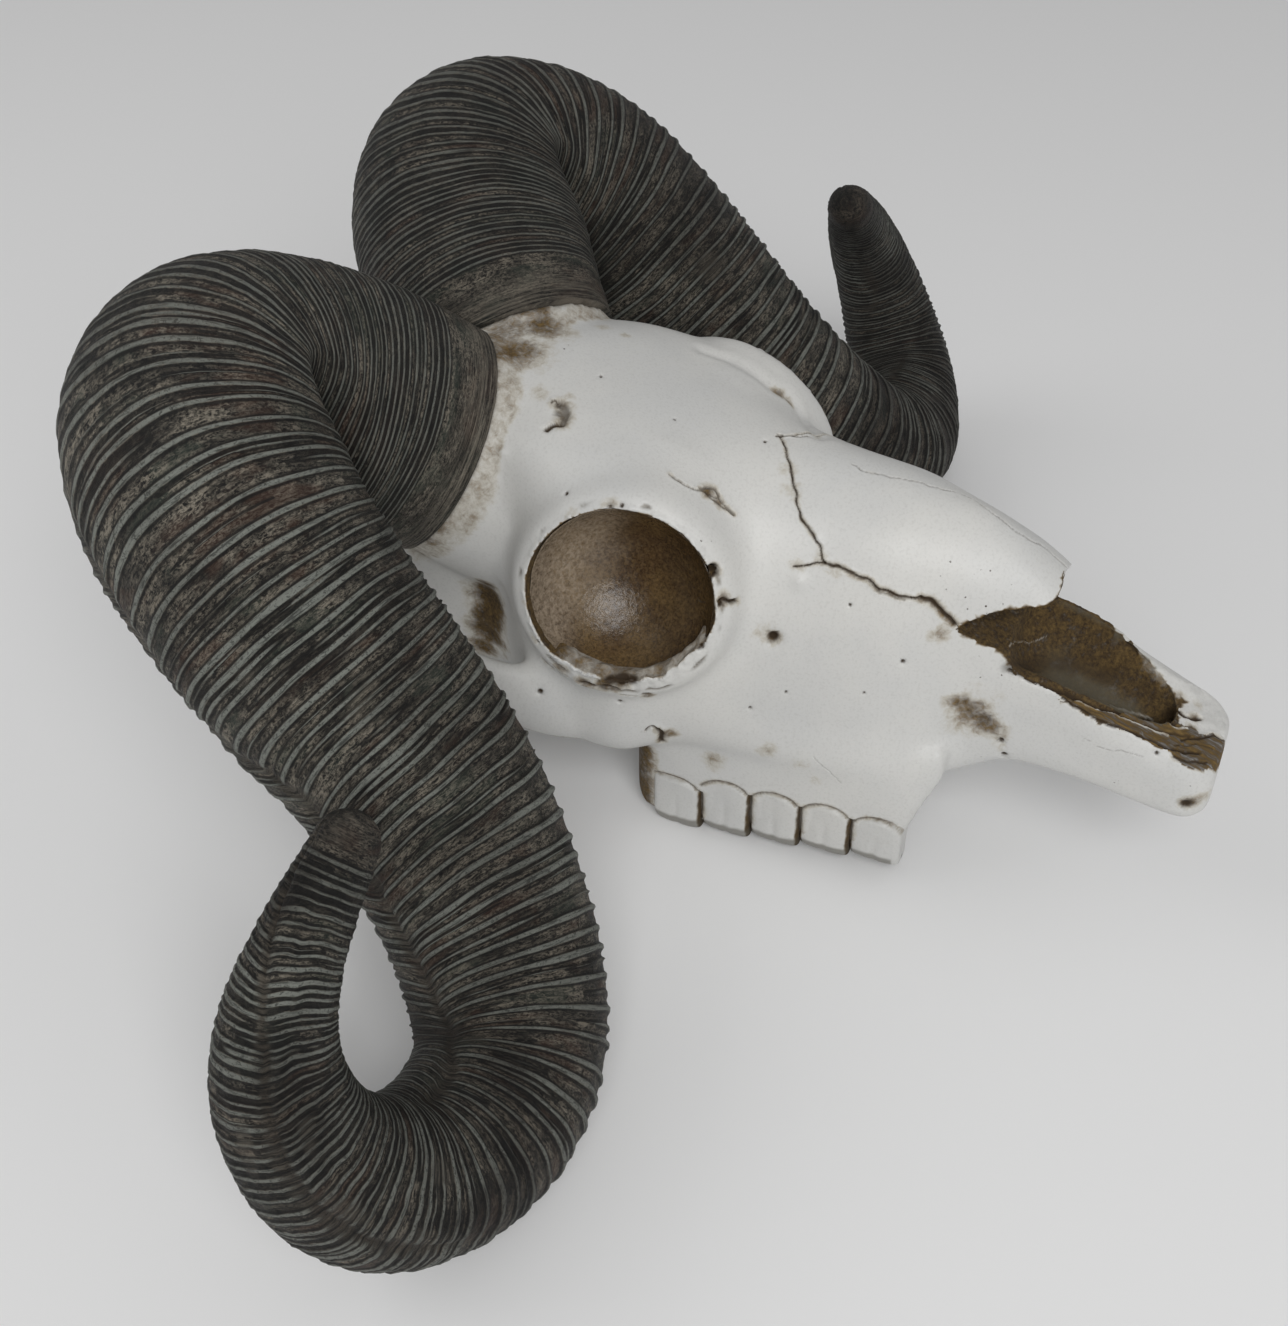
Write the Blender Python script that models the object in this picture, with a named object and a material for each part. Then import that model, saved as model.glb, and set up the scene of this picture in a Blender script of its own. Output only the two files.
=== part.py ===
"""Ram skull with both horns, a still life-size cast, built in Blender.

Metres, +Z up. The nose points along -Y and the animal's left is +X. The origin is at the middle of the
model's footprint box, on the surface that the skull lies on.

Most places are given from the brow, the point on the midline where the two horn bases meet the forehead,
as millimetres (out, forward, up): out is away from the midline, forward is towards the nose.
"""

import math

import bmesh
import bpy
import numpy as np
from mathutils import Matrix, Vector

MM = 0.001
SIDES = {"right": -1.0, "left": 1.0}

# Where the brow sits in the model's frame.
BROW_BACK = 68.35
BROW_HEIGHT = 123.0

# Clearances between pieces that touch.
PIECE_GAP = 0.3
MIDLINE_GAP = 0.9

# Horn: stations along its middle line, evenly spaced in the spline's own parameter.
# Each is (out, forward, up, radius).
HORN_STATIONS = (
    (20.8, -2.4, -23.5, 30.1),  # root, on the pedicle
    (38.4, -22.1, -7.3, 32.6),  # rise
    (64.4, -34.1, 4.9, 32.3),  # crown of the first bend
    (89.6, -18.3, -5.3, 31.0),  # over the ear
    (98.4, 8.7, -31.2, 29.4),  # shaft, upper
    (101.4, 29.9, -52.7, 27.3),  # shaft, middle
    (110.5, 52.1, -76.2, 24.8),  # shaft, lower
    (137.6, 73.2, -101.7, 21.9),  # entering the loop
    (177.6, 65.9, -94.7, 18.1),  # leaving the loop
    (183.2, 49.6, -56.9, 12.9),  # rising tip
    (152.2, 50.4, -24.8, 7.2),  # end
)
# The lengths that a horn is divided into: name, start and end as fractions of the spline, rings in each.
HORN_LENGTHS = (
    ("base", 0.0, 0.12, 6),
    ("crown", 0.12, 0.36, 13),
    ("shaft", 0.36, 0.62, 9),
    ("loop", 0.62, 0.735, 8),
    ("turn", 0.735, 0.86, 8),
    ("tip", 0.86, 1.0, 7),
)
HORN_SIDES = 16
BEND_PLANES = 60  # sections along the horn that hold each other apart inside a bend
BEND_SPAN = 0.18  # how far along the horn a section looks for others
BEND_REACH = 0.88  # how near a point may come to another section's plane, as a share of the way there
BEND_KNEE = 0.6  # the share of that reach where the section starts to flatten
HORN_TIP_ROUNDING = (0.92, 0.72, 0.38)  # ring sizes of the blunt end, as parts of the last radius

# Skull: cross-sections from the occiput to the snout. Each is the distance forward of the brow and then
# the right half of the outline as (out, up), from the top midline down to the bottom midline.
SKULL_SECTIONS = (
    (-54, (0, -44), (11, -47), (20, -58), (22, -72), (18, -86), (10, -94), (0, -96)),
    (-50, (0, -36), (14, -40), (27, -53), (31, -71), (26, -90), (14, -102), (0, -105)),
    (-38, (0, -25), (18, -29), (33, -45), (36, -67), (32, -92), (18, -106), (0, -109)),
    (-18, (0, -14), (22, -18), (35, -34), (37, -58), (32, -86), (18, -103), (0, -105)),
    (2, (0, -2), (23, -8), (34, -25), (32, -50), (29, -80), (18, -98), (0, -99)),
    (18, (0, -1.5), (22, -6), (34, -17), (32, -45), (31, -78), (20, -97), (0, -97)),
    (36, (0, -4), (22, -6), (37, -13.5), (43, -38), (46, -70), (38, -92), (0, -96)),
    (56, (0, -7), (20, -9), (35.5, -15), (45, -38), (49.5, -68), (41, -93), (0, -95)),
    (71, (0, -10.5), (17, -13), (31, -20), (40.5, -38), (44, -68), (33, -111), (0, -94)),
    (84, (0, -13.2), (12, -16), (25, -26), (33.5, -44), (37, -72), (31, -111), (0, -93)),
    (100, (0, -14.3), (11, -18), (21, -27.5), (29, -46), (32, -74), (29.5, -110), (0, -92)),
    (118, (0, -16.2), (10, -19.5), (18.5, -28), (24.5, -45), (27, -74), (27, -109.5), (0, -91)),
    (130, (0, -18.6), (9, -22.5), (16, -31), (20.5, -47), (22.5, -74), (21, -105), (0, -88)),
    (141, (0, -22), (8, -26), (14.5, -35), (17.5, -50), (18.5, -70), (16.5, -89.5), (0, -85)),
    (152, (0, -28), (7.5, -31), (12.5, -40), (15.8, -52), (16.8, -66), (15, -83), (0, -81)),
    (162, (0, -36), (7.5, -39), (12.5, -46), (15.8, -56), (16.5, -67), (14.5, -82), (0, -80.5)),
    (174, (0, -55), (8, -55.5), (13.5, -57), (16.2, -62), (16.4, -71), (14, -83), (0, -82)),
    (188, (0, -62), (8, -62.3), (13.5, -64), (16.2, -68), (16.2, -76), (13.5, -85.5), (0, -84.5)),
    (198, (0, -66), (7.5, -66.2), (12.5, -67.8), (15.2, -71.5), (15.2, -79), (12.5, -87), (0, -86.5)),
    (203, (0, -69.5), (5, -70.2), (9.5, -71.4), (12.4, -74), (12.4, -80), (9.5, -84.5), (0, -84.8)),
)
SECTION_STEPS = 2  # rings made for each stretch between two sections
OUTLINE_STEPS = 2  # points made for each stretch of a section's outline

# Eye sockets.
ORBIT_CENTRE = (44.5, 61.0, -38.0)
ORBIT_FACING = (0.945, 0.226, 0.235)
ORBIT_RADIUS = 24.3
ORBIT_DEPTH = 18.0
ORBIT_RIM_THICKNESS = 3.0
# How the bone spreads out below the rim, as (added radius, depth below the rim's plane).
ORBIT_FLARE = ((4.2, 5.0), (5.0, 9.5), (6.5, 14.0), (9.0, 18.0))

# Cheekbone arch, as (out, forward, up, half width, half height).
ARCH_STATIONS = (
    (38.0, 58.0, -77.0, 5.0, 10.0),
    (45.5, 44.0, -77.5, 5.0, 12.0),
    (50.5, 28.0, -75.0, 4.4, 9.5),
    (50.5, 10.0, -69.0, 3.8, 6.5),
    (43.5, -9.0, -64.0, 4.2, 6.0),
    (31.0, -24.0, -63.0, 5.5, 7.5),
)

# Pedicle under each horn.
PEDICLE_LENGTH = 26.0
PEDICLE_RADIUS = 27.8
PEDICLE_FLARE = 1.08

# Cheek teeth: five lobed crowns a side, from the rear one at the widest part of the palate to the front.
TOOTH_COUNT = 5
TOOTH_REAR = (30.2, 66.0)
TOOTH_FRONT = (25.4, 125.5)
TOOTH_ROOT_UP = -96.0
TOOTH_CROWN_REAR_UP = -123.2
TOOTH_CROWN_FRONT_UP = -119.4
TOOTH_LENGTH = 15.6
TOOTH_WIDTH = 8.6

# Skull base: (out, forward, up, radius) of the rounded forms that it carries.
CONDYLE = (11.5, -51.0, -100.5, 9.0)
CONDYLE_STRETCH = (0.9, 1.0, 1.5)
EAR_CAPSULE = (25.0, -18.0, -98.0, 10.5)
EAR_CAPSULE_STRETCH = (0.9, 1.2, 1.0)
JUGULAR_STATIONS = ((27.0, -35.0, -82.0, 13.0), (26.5, -37.0, -100.0, 9.0), (24.5, -40.0, -124.0, 4.6))
SPINE_HOLE = (0.0, -53.0, -88.0, 7.5)
SPINE_HOLE_DEPTH = 16.0
REST_FLAT_CUT = 0.0  # everything below this height is cut to a flat

# Nasal opening, seen from the side as (forward, up), then the trough between the snout's two rims.
OPENING_SIDE = (
    (135.0, -43.5), (144.5, -38.5), (151.5, -36.0), (157.5, -31.0), (166.0, -12.0), (225.0, -12.0),
    (225.0, -77.0), (204.0, -70.0), (186.0, -64.5), (176.0, -60.5), (163.0, -56.5), (149.0, -50.5),
)
TROUGH_PLAN = ((138.0, 11.5), (150.0, 12.0), (176.0, 11.6), (190.0, 8.0), (201.0, 2.5))
TROUGH_FLOOR_REAR_UP = -62.0
TROUGH_FLOOR_FRONT_UP = -72.5
TROUGH_TOP_UP = -40.0

BONE_COLOUR = (0.60, 0.59, 0.56, 1.0)
HORN_COLOUR = (0.045, 0.043, 0.038, 1.0)


def place(out, forward, up, side=1.0):
    """A point given from the brow, in millimetres, as a point of the model's frame."""
    return Vector((side * out, BROW_BACK - forward, BROW_HEIGHT + up)) * MM


def clear_scene():
    for old in list(bpy.data.objects):
        bpy.data.objects.remove(old, do_unlink=True)


def make_material(name, colour, roughness):
    material = bpy.data.materials.new(name)
    material.use_nodes = True
    shader = material.node_tree.nodes["Principled BSDF"]
    shader.inputs["Base Color"].default_value = colour
    shader.inputs["Roughness"].default_value = roughness
    shader.inputs["Metallic"].default_value = 0.0
    return material


def make_object(name, bm, material=None):
    """Turns a bmesh into an object, with its faces pointing out."""
    bmesh.ops.recalc_face_normals(bm, faces=bm.faces)
    mesh = bpy.data.meshes.new(name)
    bm.to_mesh(mesh)
    bm.free()
    piece = bpy.data.objects.new(name, mesh)
    bpy.context.collection.objects.link(piece)
    if material:
        mesh.materials.append(material)
    return piece


def add_boolean(piece, other, operation):
    """Joins or cuts a piece with another object, which the model then leaves out.

    The exact solver loses the lofted body partway along this chain of joins, so it is the manifold one.
    """
    step = piece.modifiers.new(operation.title(), "BOOLEAN")
    step.operation = operation
    step.solver = "MANIFOLD"
    step.object = other
    other.hide_render = True
    other.display_type = "WIRE"


def catmull(points, steps, closed=False):
    """A smooth curve through points, with an even number of steps in each stretch."""
    rows = np.asarray(points, float)
    count = len(rows)
    if closed:
        padded = np.vstack([rows[-1], rows, rows[0], rows[1]])
    else:
        padded = np.vstack([2 * rows[0] - rows[1], rows, 2 * rows[-1] - rows[-2]])
    curve = []
    for i in range(count if closed else count - 1):
        a, b, c, d = padded[i : i + 4]
        for step in range(steps):
            t = step / steps
            curve.append(
                0.5 * (2 * b + (c - a) * t + (2 * a - 5 * b + 4 * c - d) * t**2 + (3 * b - a - 3 * c + d) * t**3)
            )
    if not closed:
        curve.append(rows[-1])
    return np.array(curve)


class SmoothPath:
    """A natural cubic spline through evenly spaced stations, read at any fraction of its length."""

    def __init__(self, stations):
        self.rows = np.asarray(stations, float)
        last = len(self.rows) - 1
        system = np.diag(np.full(last + 1, 4.0))
        system += np.diag(np.ones(last), 1) + np.diag(np.ones(last), -1)
        system[0] = 0.0
        system[0, 0] = 1.0
        system[last] = 0.0
        system[last, last] = 1.0
        bends = np.zeros_like(self.rows)
        bends[1:-1] = 6.0 * (self.rows[2:] - 2 * self.rows[1:-1] + self.rows[:-2])
        self.curvature = np.linalg.solve(system, bends)
        self.last = last

    def at(self, fraction):
        place_on = min(max(fraction, 0.0), 1.0) * self.last
        i = min(int(place_on), self.last - 1)
        t = place_on - i
        a, b = self.rows[i], self.rows[i + 1]
        ka, kb = self.curvature[i], self.curvature[i + 1]
        bend = ((1 - t) ** 3 - (1 - t)) * ka + (t**3 - t) * kb
        return a * (1 - t) + b * t + bend / 6.0


HORN = SmoothPath(HORN_STATIONS)


def bridge_rings(bm, rings, close_ends=True):
    """Skins a row of vertex rings of equal count and fills both ends."""
    for first, second in zip(rings, rings[1:]):
        for i in range(len(first)):
            j = (i + 1) % len(first)
            bm.faces.new((first[i], first[j], second[j], second[i]))
    if close_ends:
        bm.faces.new(list(reversed(rings[0])))
        bm.faces.new(rings[-1])


def horn_frame(fraction, side):
    """Middle point, radius and direction of a horn at a fraction of its path."""
    step = 0.008
    centre = min(max(fraction, step), 1.0 - step)
    before, after = (place(*HORN.at(centre + shift)[:3], side) for shift in (-step, step))
    row = HORN.at(fraction)
    return place(*row[:3], side), float(row[3]) * MM, (after - before).normalized()


def horn_planes(side):
    """The planes of evenly spaced sections of a horn, as (fraction, middle, direction)."""
    planes = []
    for fraction in spaced_fractions(0.0, 1.0, BEND_PLANES):
        middle, _, ahead = horn_frame(fraction, side)
        planes.append((fraction, middle, ahead))
    return planes


def ease_inside(fraction, middle, offset, planes):
    """Holds a point of a section back from the planes of the others, so that no two sections cross."""
    room = math.inf
    for other, point, ahead in planes:
        clear = (middle - point).dot(ahead)
        closing = offset.dot(ahead)
        weight = 1.0 - ((other - fraction) / BEND_SPAN) ** 2
        if weight > 0 and clear * closing < 0:
            room = min(room, -clear / closing / weight)
    limit = BEND_REACH * room
    knee = BEND_KNEE * limit
    if knee >= 1.0:
        return offset
    slack = limit - knee
    return offset * (knee + slack * (1 - math.exp(-(1 - knee) / slack)))


def horn_rings(fractions, side, swell=0.0):
    """Section outlines at each fraction, carried along the path without twisting."""
    planes = horn_planes(side)
    across = Vector((0.0, 0.0, 1.0))
    outlines = []
    for fraction in fractions:
        middle, radius, ahead = horn_frame(fraction, side)
        across = (across - across.dot(ahead) * ahead).normalized()
        beside = ahead.cross(across) * side
        outline = []
        for i in range(HORN_SIDES):
            turn = 2 * math.pi * i / HORN_SIDES
            offset = (radius + swell) * (math.cos(turn) * across + math.sin(turn) * beside)
            outline.append(middle + ease_inside(fraction, middle, offset, planes))
        outlines.append((middle, ahead, outline))
    return outlines


def add_rings(bm, outlines):
    return [[bm.verts.new(point) for point in outline] for _, _, outline in outlines]


def cut_away(bm, point, normal):
    """Removes what lies on the normal's side of a plane and fills the cut with a flat face."""
    found = bmesh.ops.bisect_plane(
        bm,
        geom=bm.verts[:] + bm.edges[:] + bm.faces[:],
        plane_co=point,
        plane_no=normal,
        clear_outer=True,
    )
    edges = [part for part in found["geom_cut"] if isinstance(part, bmesh.types.BMEdge)]
    if edges:
        bmesh.ops.holes_fill(bm, edges=edges)


def spaced_fractions(start, end, count):
    return [start + (end - start) * i / (count - 1) for i in range(count)]


def horn_gap(fraction):
    """The gap between two lengths as a fraction of the path."""
    step = 0.004
    moved = HORN.at(fraction + step)[:3] - HORN.at(fraction - step)[:3]
    return PIECE_GAP / (float(np.linalg.norm(moved)) / (2 * step))


def all_horn_fractions():
    """Every length's ring positions. Each length starts a small gap after the one before it."""
    table = []
    for _, start, end, count in HORN_LENGTHS:
        table.append(spaced_fractions(start + horn_gap(start) if start else 0.0, end, count))
    return table


def make_horn(side_name, material):
    """One horn, in lengths that meet end to end with a small gap."""
    side = SIDES[side_name]
    table = all_horn_fractions()
    outlines = horn_rings([fraction for row in table for fraction in row], side)
    start = 0
    pieces = []
    for (name, _, _, _), row in zip(HORN_LENGTHS, table):
        own = outlines[start : start + len(row)]
        start += len(row)
        bm = bmesh.new()
        rings = add_rings(bm, own)
        last_middle, last_ahead, last_outline = own[-1]
        if name == "tip":
            radius = float(HORN.at(1.0)[3]) * MM
            for size in HORN_TIP_ROUNDING:
                reach = radius * math.sqrt(1 - size**2)
                shifted = [
                    last_middle + (point - last_middle) * size + last_ahead * reach for point in last_outline
                ]
                rings.append([bm.verts.new(point) for point in shifted])
        bridge_rings(bm, rings)
        bmesh.ops.recalc_face_normals(bm, faces=bm.faces)
        if name in ("base", "crown"):
            cut_away(bm, Vector((side * MIDLINE_GAP * MM, 0, 0)), Vector((-side, 0, 0)))
        cut_away(bm, Vector((0, 0, REST_FLAT_CUT)), Vector((0, 0, -1)))
        piece = make_object(f"horn_{side_name}_{name}", bm, material)
        pieces.append(piece)
    return pieces


def make_horn_seat(side):
    """The shape that is cut out of the skull for a horn's base, a gap larger than the horn."""
    fractions = spaced_fractions(0.0, 0.3, 12)
    outlines = horn_rings(fractions, side, swell=PIECE_GAP * MM)
    bm = bmesh.new()
    middle, ahead, outline = outlines[0]
    back = -ahead * PIECE_GAP * MM
    rings = [[bm.verts.new(point + back) for point in outline]] + add_rings(bm, outlines[1:])
    bridge_rings(bm, rings)
    return make_object("horn_seat", bm)


def section_outline(section):
    """A section's whole outline as a closed smooth loop of points in the model's frame."""
    forward = section[0]
    half = section[1:]
    mirrored = [(-out, up) for out, up in reversed(half[1:-1])]
    loop = catmull(list(half) + mirrored, OUTLINE_STEPS, closed=True)
    return [(out, forward, up) for out, up in loop]


def make_skull_body():
    """The lofted body of the skull, from the occiput to the snout."""
    outlines = np.array([section_outline(section) for section in SKULL_SECTIONS])
    rows, points, _ = outlines.shape
    lofted = catmull(outlines.reshape(rows, points * 3), SECTION_STEPS)
    bm = bmesh.new()
    rings = []
    for row in lofted.reshape(-1, points, 3):
        rings.append([bm.verts.new(place(out, forward, up)) for out, forward, up in row])
    bridge_rings(bm, rings)
    return make_object("skull", bm)


def socket_matrix(side):
    """Turns local +Z to face out of the eye socket, with the origin at the middle of its rim."""
    out, forward, up = ORBIT_FACING
    facing = Vector((side * out, -forward, up)).normalized()
    return Matrix.Translation(place(*ORBIT_CENTRE, side)) @ facing.to_track_quat("Z", "Y").to_matrix().to_4x4()


def make_socket_collars():
    """The bone around each eye socket: a flared collar that ends in a rounded rim."""
    bm = bmesh.new()
    profile = (
        (ORBIT_RADIUS - 3.0, 0.0),
        (ORBIT_RADIUS + 0.6, ORBIT_RIM_THICKNESS * 0.5),
        (ORBIT_RADIUS + 2.2, ORBIT_RIM_THICKNESS * 0.25),
        (ORBIT_RADIUS + 3.2, -ORBIT_RIM_THICKNESS * 0.6),
    ) + tuple((ORBIT_RADIUS + more, -depth) for more, depth in ORBIT_FLARE)
    count = 24
    for side in SIDES.values():
        matrix = socket_matrix(side)
        rings = []
        for radius, height in profile:
            ring = []
            for i in range(count):
                turn = 2 * math.pi * i / count
                local = Vector((radius * math.cos(turn), radius * math.sin(turn), height)) * MM
                ring.append(bm.verts.new(matrix @ local))
            rings.append(ring)
        bridge_rings(bm, rings)
    return make_object("socket_collars", bm)


def make_socket_bowls():
    """The rounded hollows of the eye sockets."""
    radius = (ORBIT_RADIUS**2 + ORBIT_DEPTH**2) / (2 * ORBIT_DEPTH)
    bm = bmesh.new()
    for side in SIDES.values():
        shift = Matrix.Translation((0, 0, (radius - ORBIT_DEPTH) * MM))
        bmesh.ops.create_uvsphere(
            bm, u_segments=22, v_segments=12, radius=radius * MM, matrix=socket_matrix(side) @ shift
        )
    return make_object("socket_bowls", bm)


def sweep_bar(bm, stations, side, count=10, steps=3):
    """A flattened bar along (out, forward, up, half width, half height) stations."""
    rows = catmull(stations, steps)
    rings = []
    for i, row in enumerate(rows):
        before = Vector(rows[max(i - 1, 0)][:3])
        after = Vector(rows[min(i + 1, len(rows) - 1)][:3])
        ahead = (after - before).normalized()
        tall = Vector((0, 0, 1))
        tall = (tall - tall.dot(ahead) * ahead).normalized()
        wide = ahead.cross(tall)
        ring = []
        for k in range(count):
            turn = 2 * math.pi * k / count
            shift = wide * float(row[3]) * math.cos(turn) + tall * float(row[4]) * math.sin(turn)
            ring.append(bm.verts.new(place(*(Vector(row[:3]) + shift), side)))
        rings.append(ring)
    bridge_rings(bm, rings)


def make_cheek_arches():
    bm = bmesh.new()
    for side in SIDES.values():
        sweep_bar(bm, ARCH_STATIONS, side)
    return make_object("cheek_arches", bm)


def make_pedicle(side):
    """The bony stump that carries a horn, a little flared where it leaves the forehead."""
    middle, _, ahead = horn_frame(0.0, side)
    turn = ahead.to_track_quat("Z", "Y").to_matrix().to_4x4()
    centre = middle - ahead * PEDICLE_LENGTH * MM / 2
    bm = bmesh.new()
    bmesh.ops.create_cone(
        bm,
        cap_ends=True,
        segments=28,
        radius1=PEDICLE_RADIUS * PEDICLE_FLARE * MM,
        radius2=PEDICLE_RADIUS * MM,
        depth=PEDICLE_LENGTH * MM,
        matrix=Matrix.Translation(centre) @ turn,
    )
    return make_object("pedicle", bm)


def add_ball(bm, form, side, stretch=(1.0, 1.0, 1.0)):
    out, forward, up, radius = form
    matrix = Matrix.Translation(place(out, forward, up, side)) @ Matrix.Diagonal((*stretch, 1.0))
    bmesh.ops.create_uvsphere(bm, u_segments=12, v_segments=8, radius=radius * MM, matrix=matrix)


def make_condyles():
    bm = bmesh.new()
    for side in SIDES.values():
        add_ball(bm, CONDYLE, side, CONDYLE_STRETCH)
    return make_object("condyles", bm)


def make_ear_capsules():
    bm = bmesh.new()
    for side in SIDES.values():
        add_ball(bm, EAR_CAPSULE, side, EAR_CAPSULE_STRETCH)
    return make_object("ear_capsules", bm)


def make_jugular_processes():
    """The two pegs of bone that hang beside the condyles."""
    bm = bmesh.new()
    for side in SIDES.values():
        rings = []
        for out, forward, up, radius in catmull(JUGULAR_STATIONS, 2):
            ring = []
            for k in range(10):
                turn = 2 * math.pi * k / 10
                ring.append(
                    bm.verts.new(
                        place(out + radius * 0.7 * math.cos(turn), forward + radius * math.sin(turn), up, side)
                    )
                )
            rings.append(ring)
        bridge_rings(bm, rings)
    return make_object("jugular_processes", bm)


def make_spine_hole():
    """The round hole between the condyles, where the spine met the skull."""
    out, forward, up, radius = SPINE_HOLE
    bm = bmesh.new()
    bmesh.ops.create_cone(
        bm,
        cap_ends=True,
        segments=18,
        radius1=radius * MM,
        radius2=radius * MM,
        depth=SPINE_HOLE_DEPTH * MM,
        matrix=Matrix.Translation(place(out, forward, up)) @ Matrix.Rotation(math.pi / 2, 4, "X"),
    )
    return make_object("spine_hole", bm)


def make_tooth(bm, share, side):
    """One cheek tooth: two rounded lobes side by side, narrowing to the crown's edge."""
    out = TOOTH_REAR[0] + (TOOTH_FRONT[0] - TOOTH_REAR[0]) * share
    forward = TOOTH_REAR[1] + (TOOTH_FRONT[1] - TOOTH_REAR[1]) * share
    crown = TOOTH_CROWN_REAR_UP + (TOOTH_CROWN_FRONT_UP - TOOTH_CROWN_REAR_UP) * share
    levels = ((TOOTH_ROOT_UP, 0.96), (crown + 6.0, 1.0), (crown + 1.4, 0.93), (crown, 0.8))
    count = 14
    rings = []
    for up, size in levels:
        ring = []
        for k in range(count):
            turn = 2 * math.pi * k / count
            along = TOOTH_LENGTH / 2 * size * math.copysign(abs(math.cos(turn)) ** 0.55, math.cos(turn))
            across = TOOTH_WIDTH / 2 * size * math.copysign(abs(math.sin(turn)) ** 0.7, math.sin(turn))
            ring.append(bm.verts.new(place(out + across, forward + along, up, side)))
        rings.append(ring)
    bridge_rings(bm, rings)


def make_tooth_rows():
    """Both rows as two sets, so that no two crowns of one set touch."""
    sets = []
    for parity in (0, 1):
        bm = bmesh.new()
        for side in SIDES.values():
            for i in range(parity, TOOTH_COUNT, 2):
                make_tooth(bm, i / (TOOTH_COUNT - 1), side)
        sets.append(make_object(f"teeth_{parity}", bm))
    return sets


def make_opening_cutter():
    """The side view of the nasal opening, run across the whole snout."""
    reach = 30.0
    bm = bmesh.new()
    rings = []
    for out in (-reach, reach):
        rings.append([bm.verts.new(place(out, forward, up)) for forward, up in OPENING_SIDE])
    bridge_rings(bm, rings)
    return make_object("nasal_opening", bm)


def make_trough_cutter():
    """The hollow between the snout's rims, which deepens towards the nose."""
    plan = [(forward, half) for forward, half in TROUGH_PLAN]
    outline = plan + [(forward, -half) for forward, half in reversed(plan)]
    rear, front = TROUGH_PLAN[0][0], TROUGH_PLAN[-1][0]
    bm = bmesh.new()
    rings = [[], []]
    for forward, out in outline:
        share = (forward - rear) / (front - rear)
        floor = TROUGH_FLOOR_REAR_UP + (TROUGH_FLOOR_FRONT_UP - TROUGH_FLOOR_REAR_UP) * share
        rings[0].append(bm.verts.new(place(out * 0.8, forward, floor)))
        rings[1].append(bm.verts.new(place(out, forward, TROUGH_TOP_UP)))
    bridge_rings(bm, rings)
    return make_object("snout_trough", bm)


def make_floor_cutter():
    """A block under the resting level, so that what reaches it ends in a small flat."""
    bm = bmesh.new()
    matrix = Matrix.Translation((0, 0, -0.05 + REST_FLAT_CUT)) @ Matrix.Diagonal((0.6, 0.6, 0.1, 1.0))
    bmesh.ops.create_cube(bm, size=1.0, matrix=matrix)
    return make_object("rest_level", bm)


def make_skull(material):
    skull = make_skull_body()
    joined = [make_socket_collars(), make_cheek_arches()]
    joined += [make_pedicle(side) for side in SIDES.values()]
    joined += [make_condyles(), make_ear_capsules(), make_jugular_processes()]
    joined += make_tooth_rows()
    for form in joined:
        add_boolean(skull, form, "UNION")
    cutters = [make_socket_bowls(), make_opening_cutter(), make_trough_cutter(), make_spine_hole()]
    cutters += [make_horn_seat(side) for side in SIDES.values()]
    cutters.append(make_floor_cutter())
    for cutter in cutters:
        add_boolean(skull, cutter, "DIFFERENCE")
    skull.data.materials.append(material)
    return skull


def shade_round(piece, angle=35.0):
    piece.data.shade_smooth()
    piece.data.set_sharp_from_angle(angle=math.radians(angle))


def main():
    clear_scene()
    bone = make_material("painted_bone", BONE_COLOUR, 0.55)
    horn = make_material("painted_horn", HORN_COLOUR, 0.6)
    pieces = [make_skull(bone)]
    for side_name in SIDES:
        pieces += make_horn(side_name, horn)
    for piece in pieces:
        shade_round(piece)


main()
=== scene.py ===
"""Ram skull with both horns: the looks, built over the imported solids.

Metres, +Z up. The nose points along -Y and the animal's left is +X. Most places are given from the brow,
the point on the midline where the two horn bases meet the forehead, as millimetres (out, forward, up).
"""

import enum
import logging
import math
from dataclasses import dataclass, field

import bpy
import numpy as np
from mathutils import Matrix, Vector, noise
from mathutils.bvhtree import BVHTree
from mathutils.kdtree import KDTree


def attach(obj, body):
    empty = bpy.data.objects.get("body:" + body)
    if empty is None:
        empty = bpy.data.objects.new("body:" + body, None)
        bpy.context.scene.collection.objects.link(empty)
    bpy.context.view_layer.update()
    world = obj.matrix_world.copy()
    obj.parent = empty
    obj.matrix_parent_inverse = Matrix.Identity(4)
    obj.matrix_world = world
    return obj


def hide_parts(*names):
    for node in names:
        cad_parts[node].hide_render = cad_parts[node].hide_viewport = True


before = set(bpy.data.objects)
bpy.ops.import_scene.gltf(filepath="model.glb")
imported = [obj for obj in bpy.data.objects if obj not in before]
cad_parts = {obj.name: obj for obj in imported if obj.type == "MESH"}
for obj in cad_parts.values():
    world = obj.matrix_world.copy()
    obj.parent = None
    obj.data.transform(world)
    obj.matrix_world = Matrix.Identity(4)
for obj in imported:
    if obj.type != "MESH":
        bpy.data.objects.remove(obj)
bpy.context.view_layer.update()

Array = np.ndarray
Piece = bpy.types.Object
Socket = bpy.types.NodeSocket
Material = bpy.types.Material

LOG = logging.getLogger("ram_skull")
MM = 0.001
# A point this close to a cut's surface lies on the cut, in metres.
NEAR = 0.00012
BODY = "root"

# Where the brow sits in the model's frame, in millimetres.
BROW_BACK = 68.35
BROW_HEIGHT = 123.0


class Side(enum.Enum):
    """The animal's two sides, with the sign of the X axis there."""

    RIGHT = -1.0
    LEFT = 1.0


class Slot(enum.Enum):
    """The record's material slots."""

    BONE = "painted_bone"
    HORN = "painted_horn"


class Layer(enum.Enum):
    """Names of the values that the shapes leave on their points for the finishes to read."""

    UNROLLED = "unrolled"
    EDGE = "edge"
    CALM = "calm"
    # Painted shade in the horns' bends, keels and loop and on the far horn, with random darker patches.
    SHADE = "shade"
    # Brown washes, and painted shade under the cheekbone, at the rear of the bone that holds the teeth and
    # on the sockets' front walls.
    STAIN = "stain"
    CRACK = "crack"
    STREAK = "streak"
    SPECKS = "specks"
    # Grey paint, painted shade under the teeth, the painted reflection in the sockets, and duller horn
    # crests near the root.
    GREY = "grey"


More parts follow.
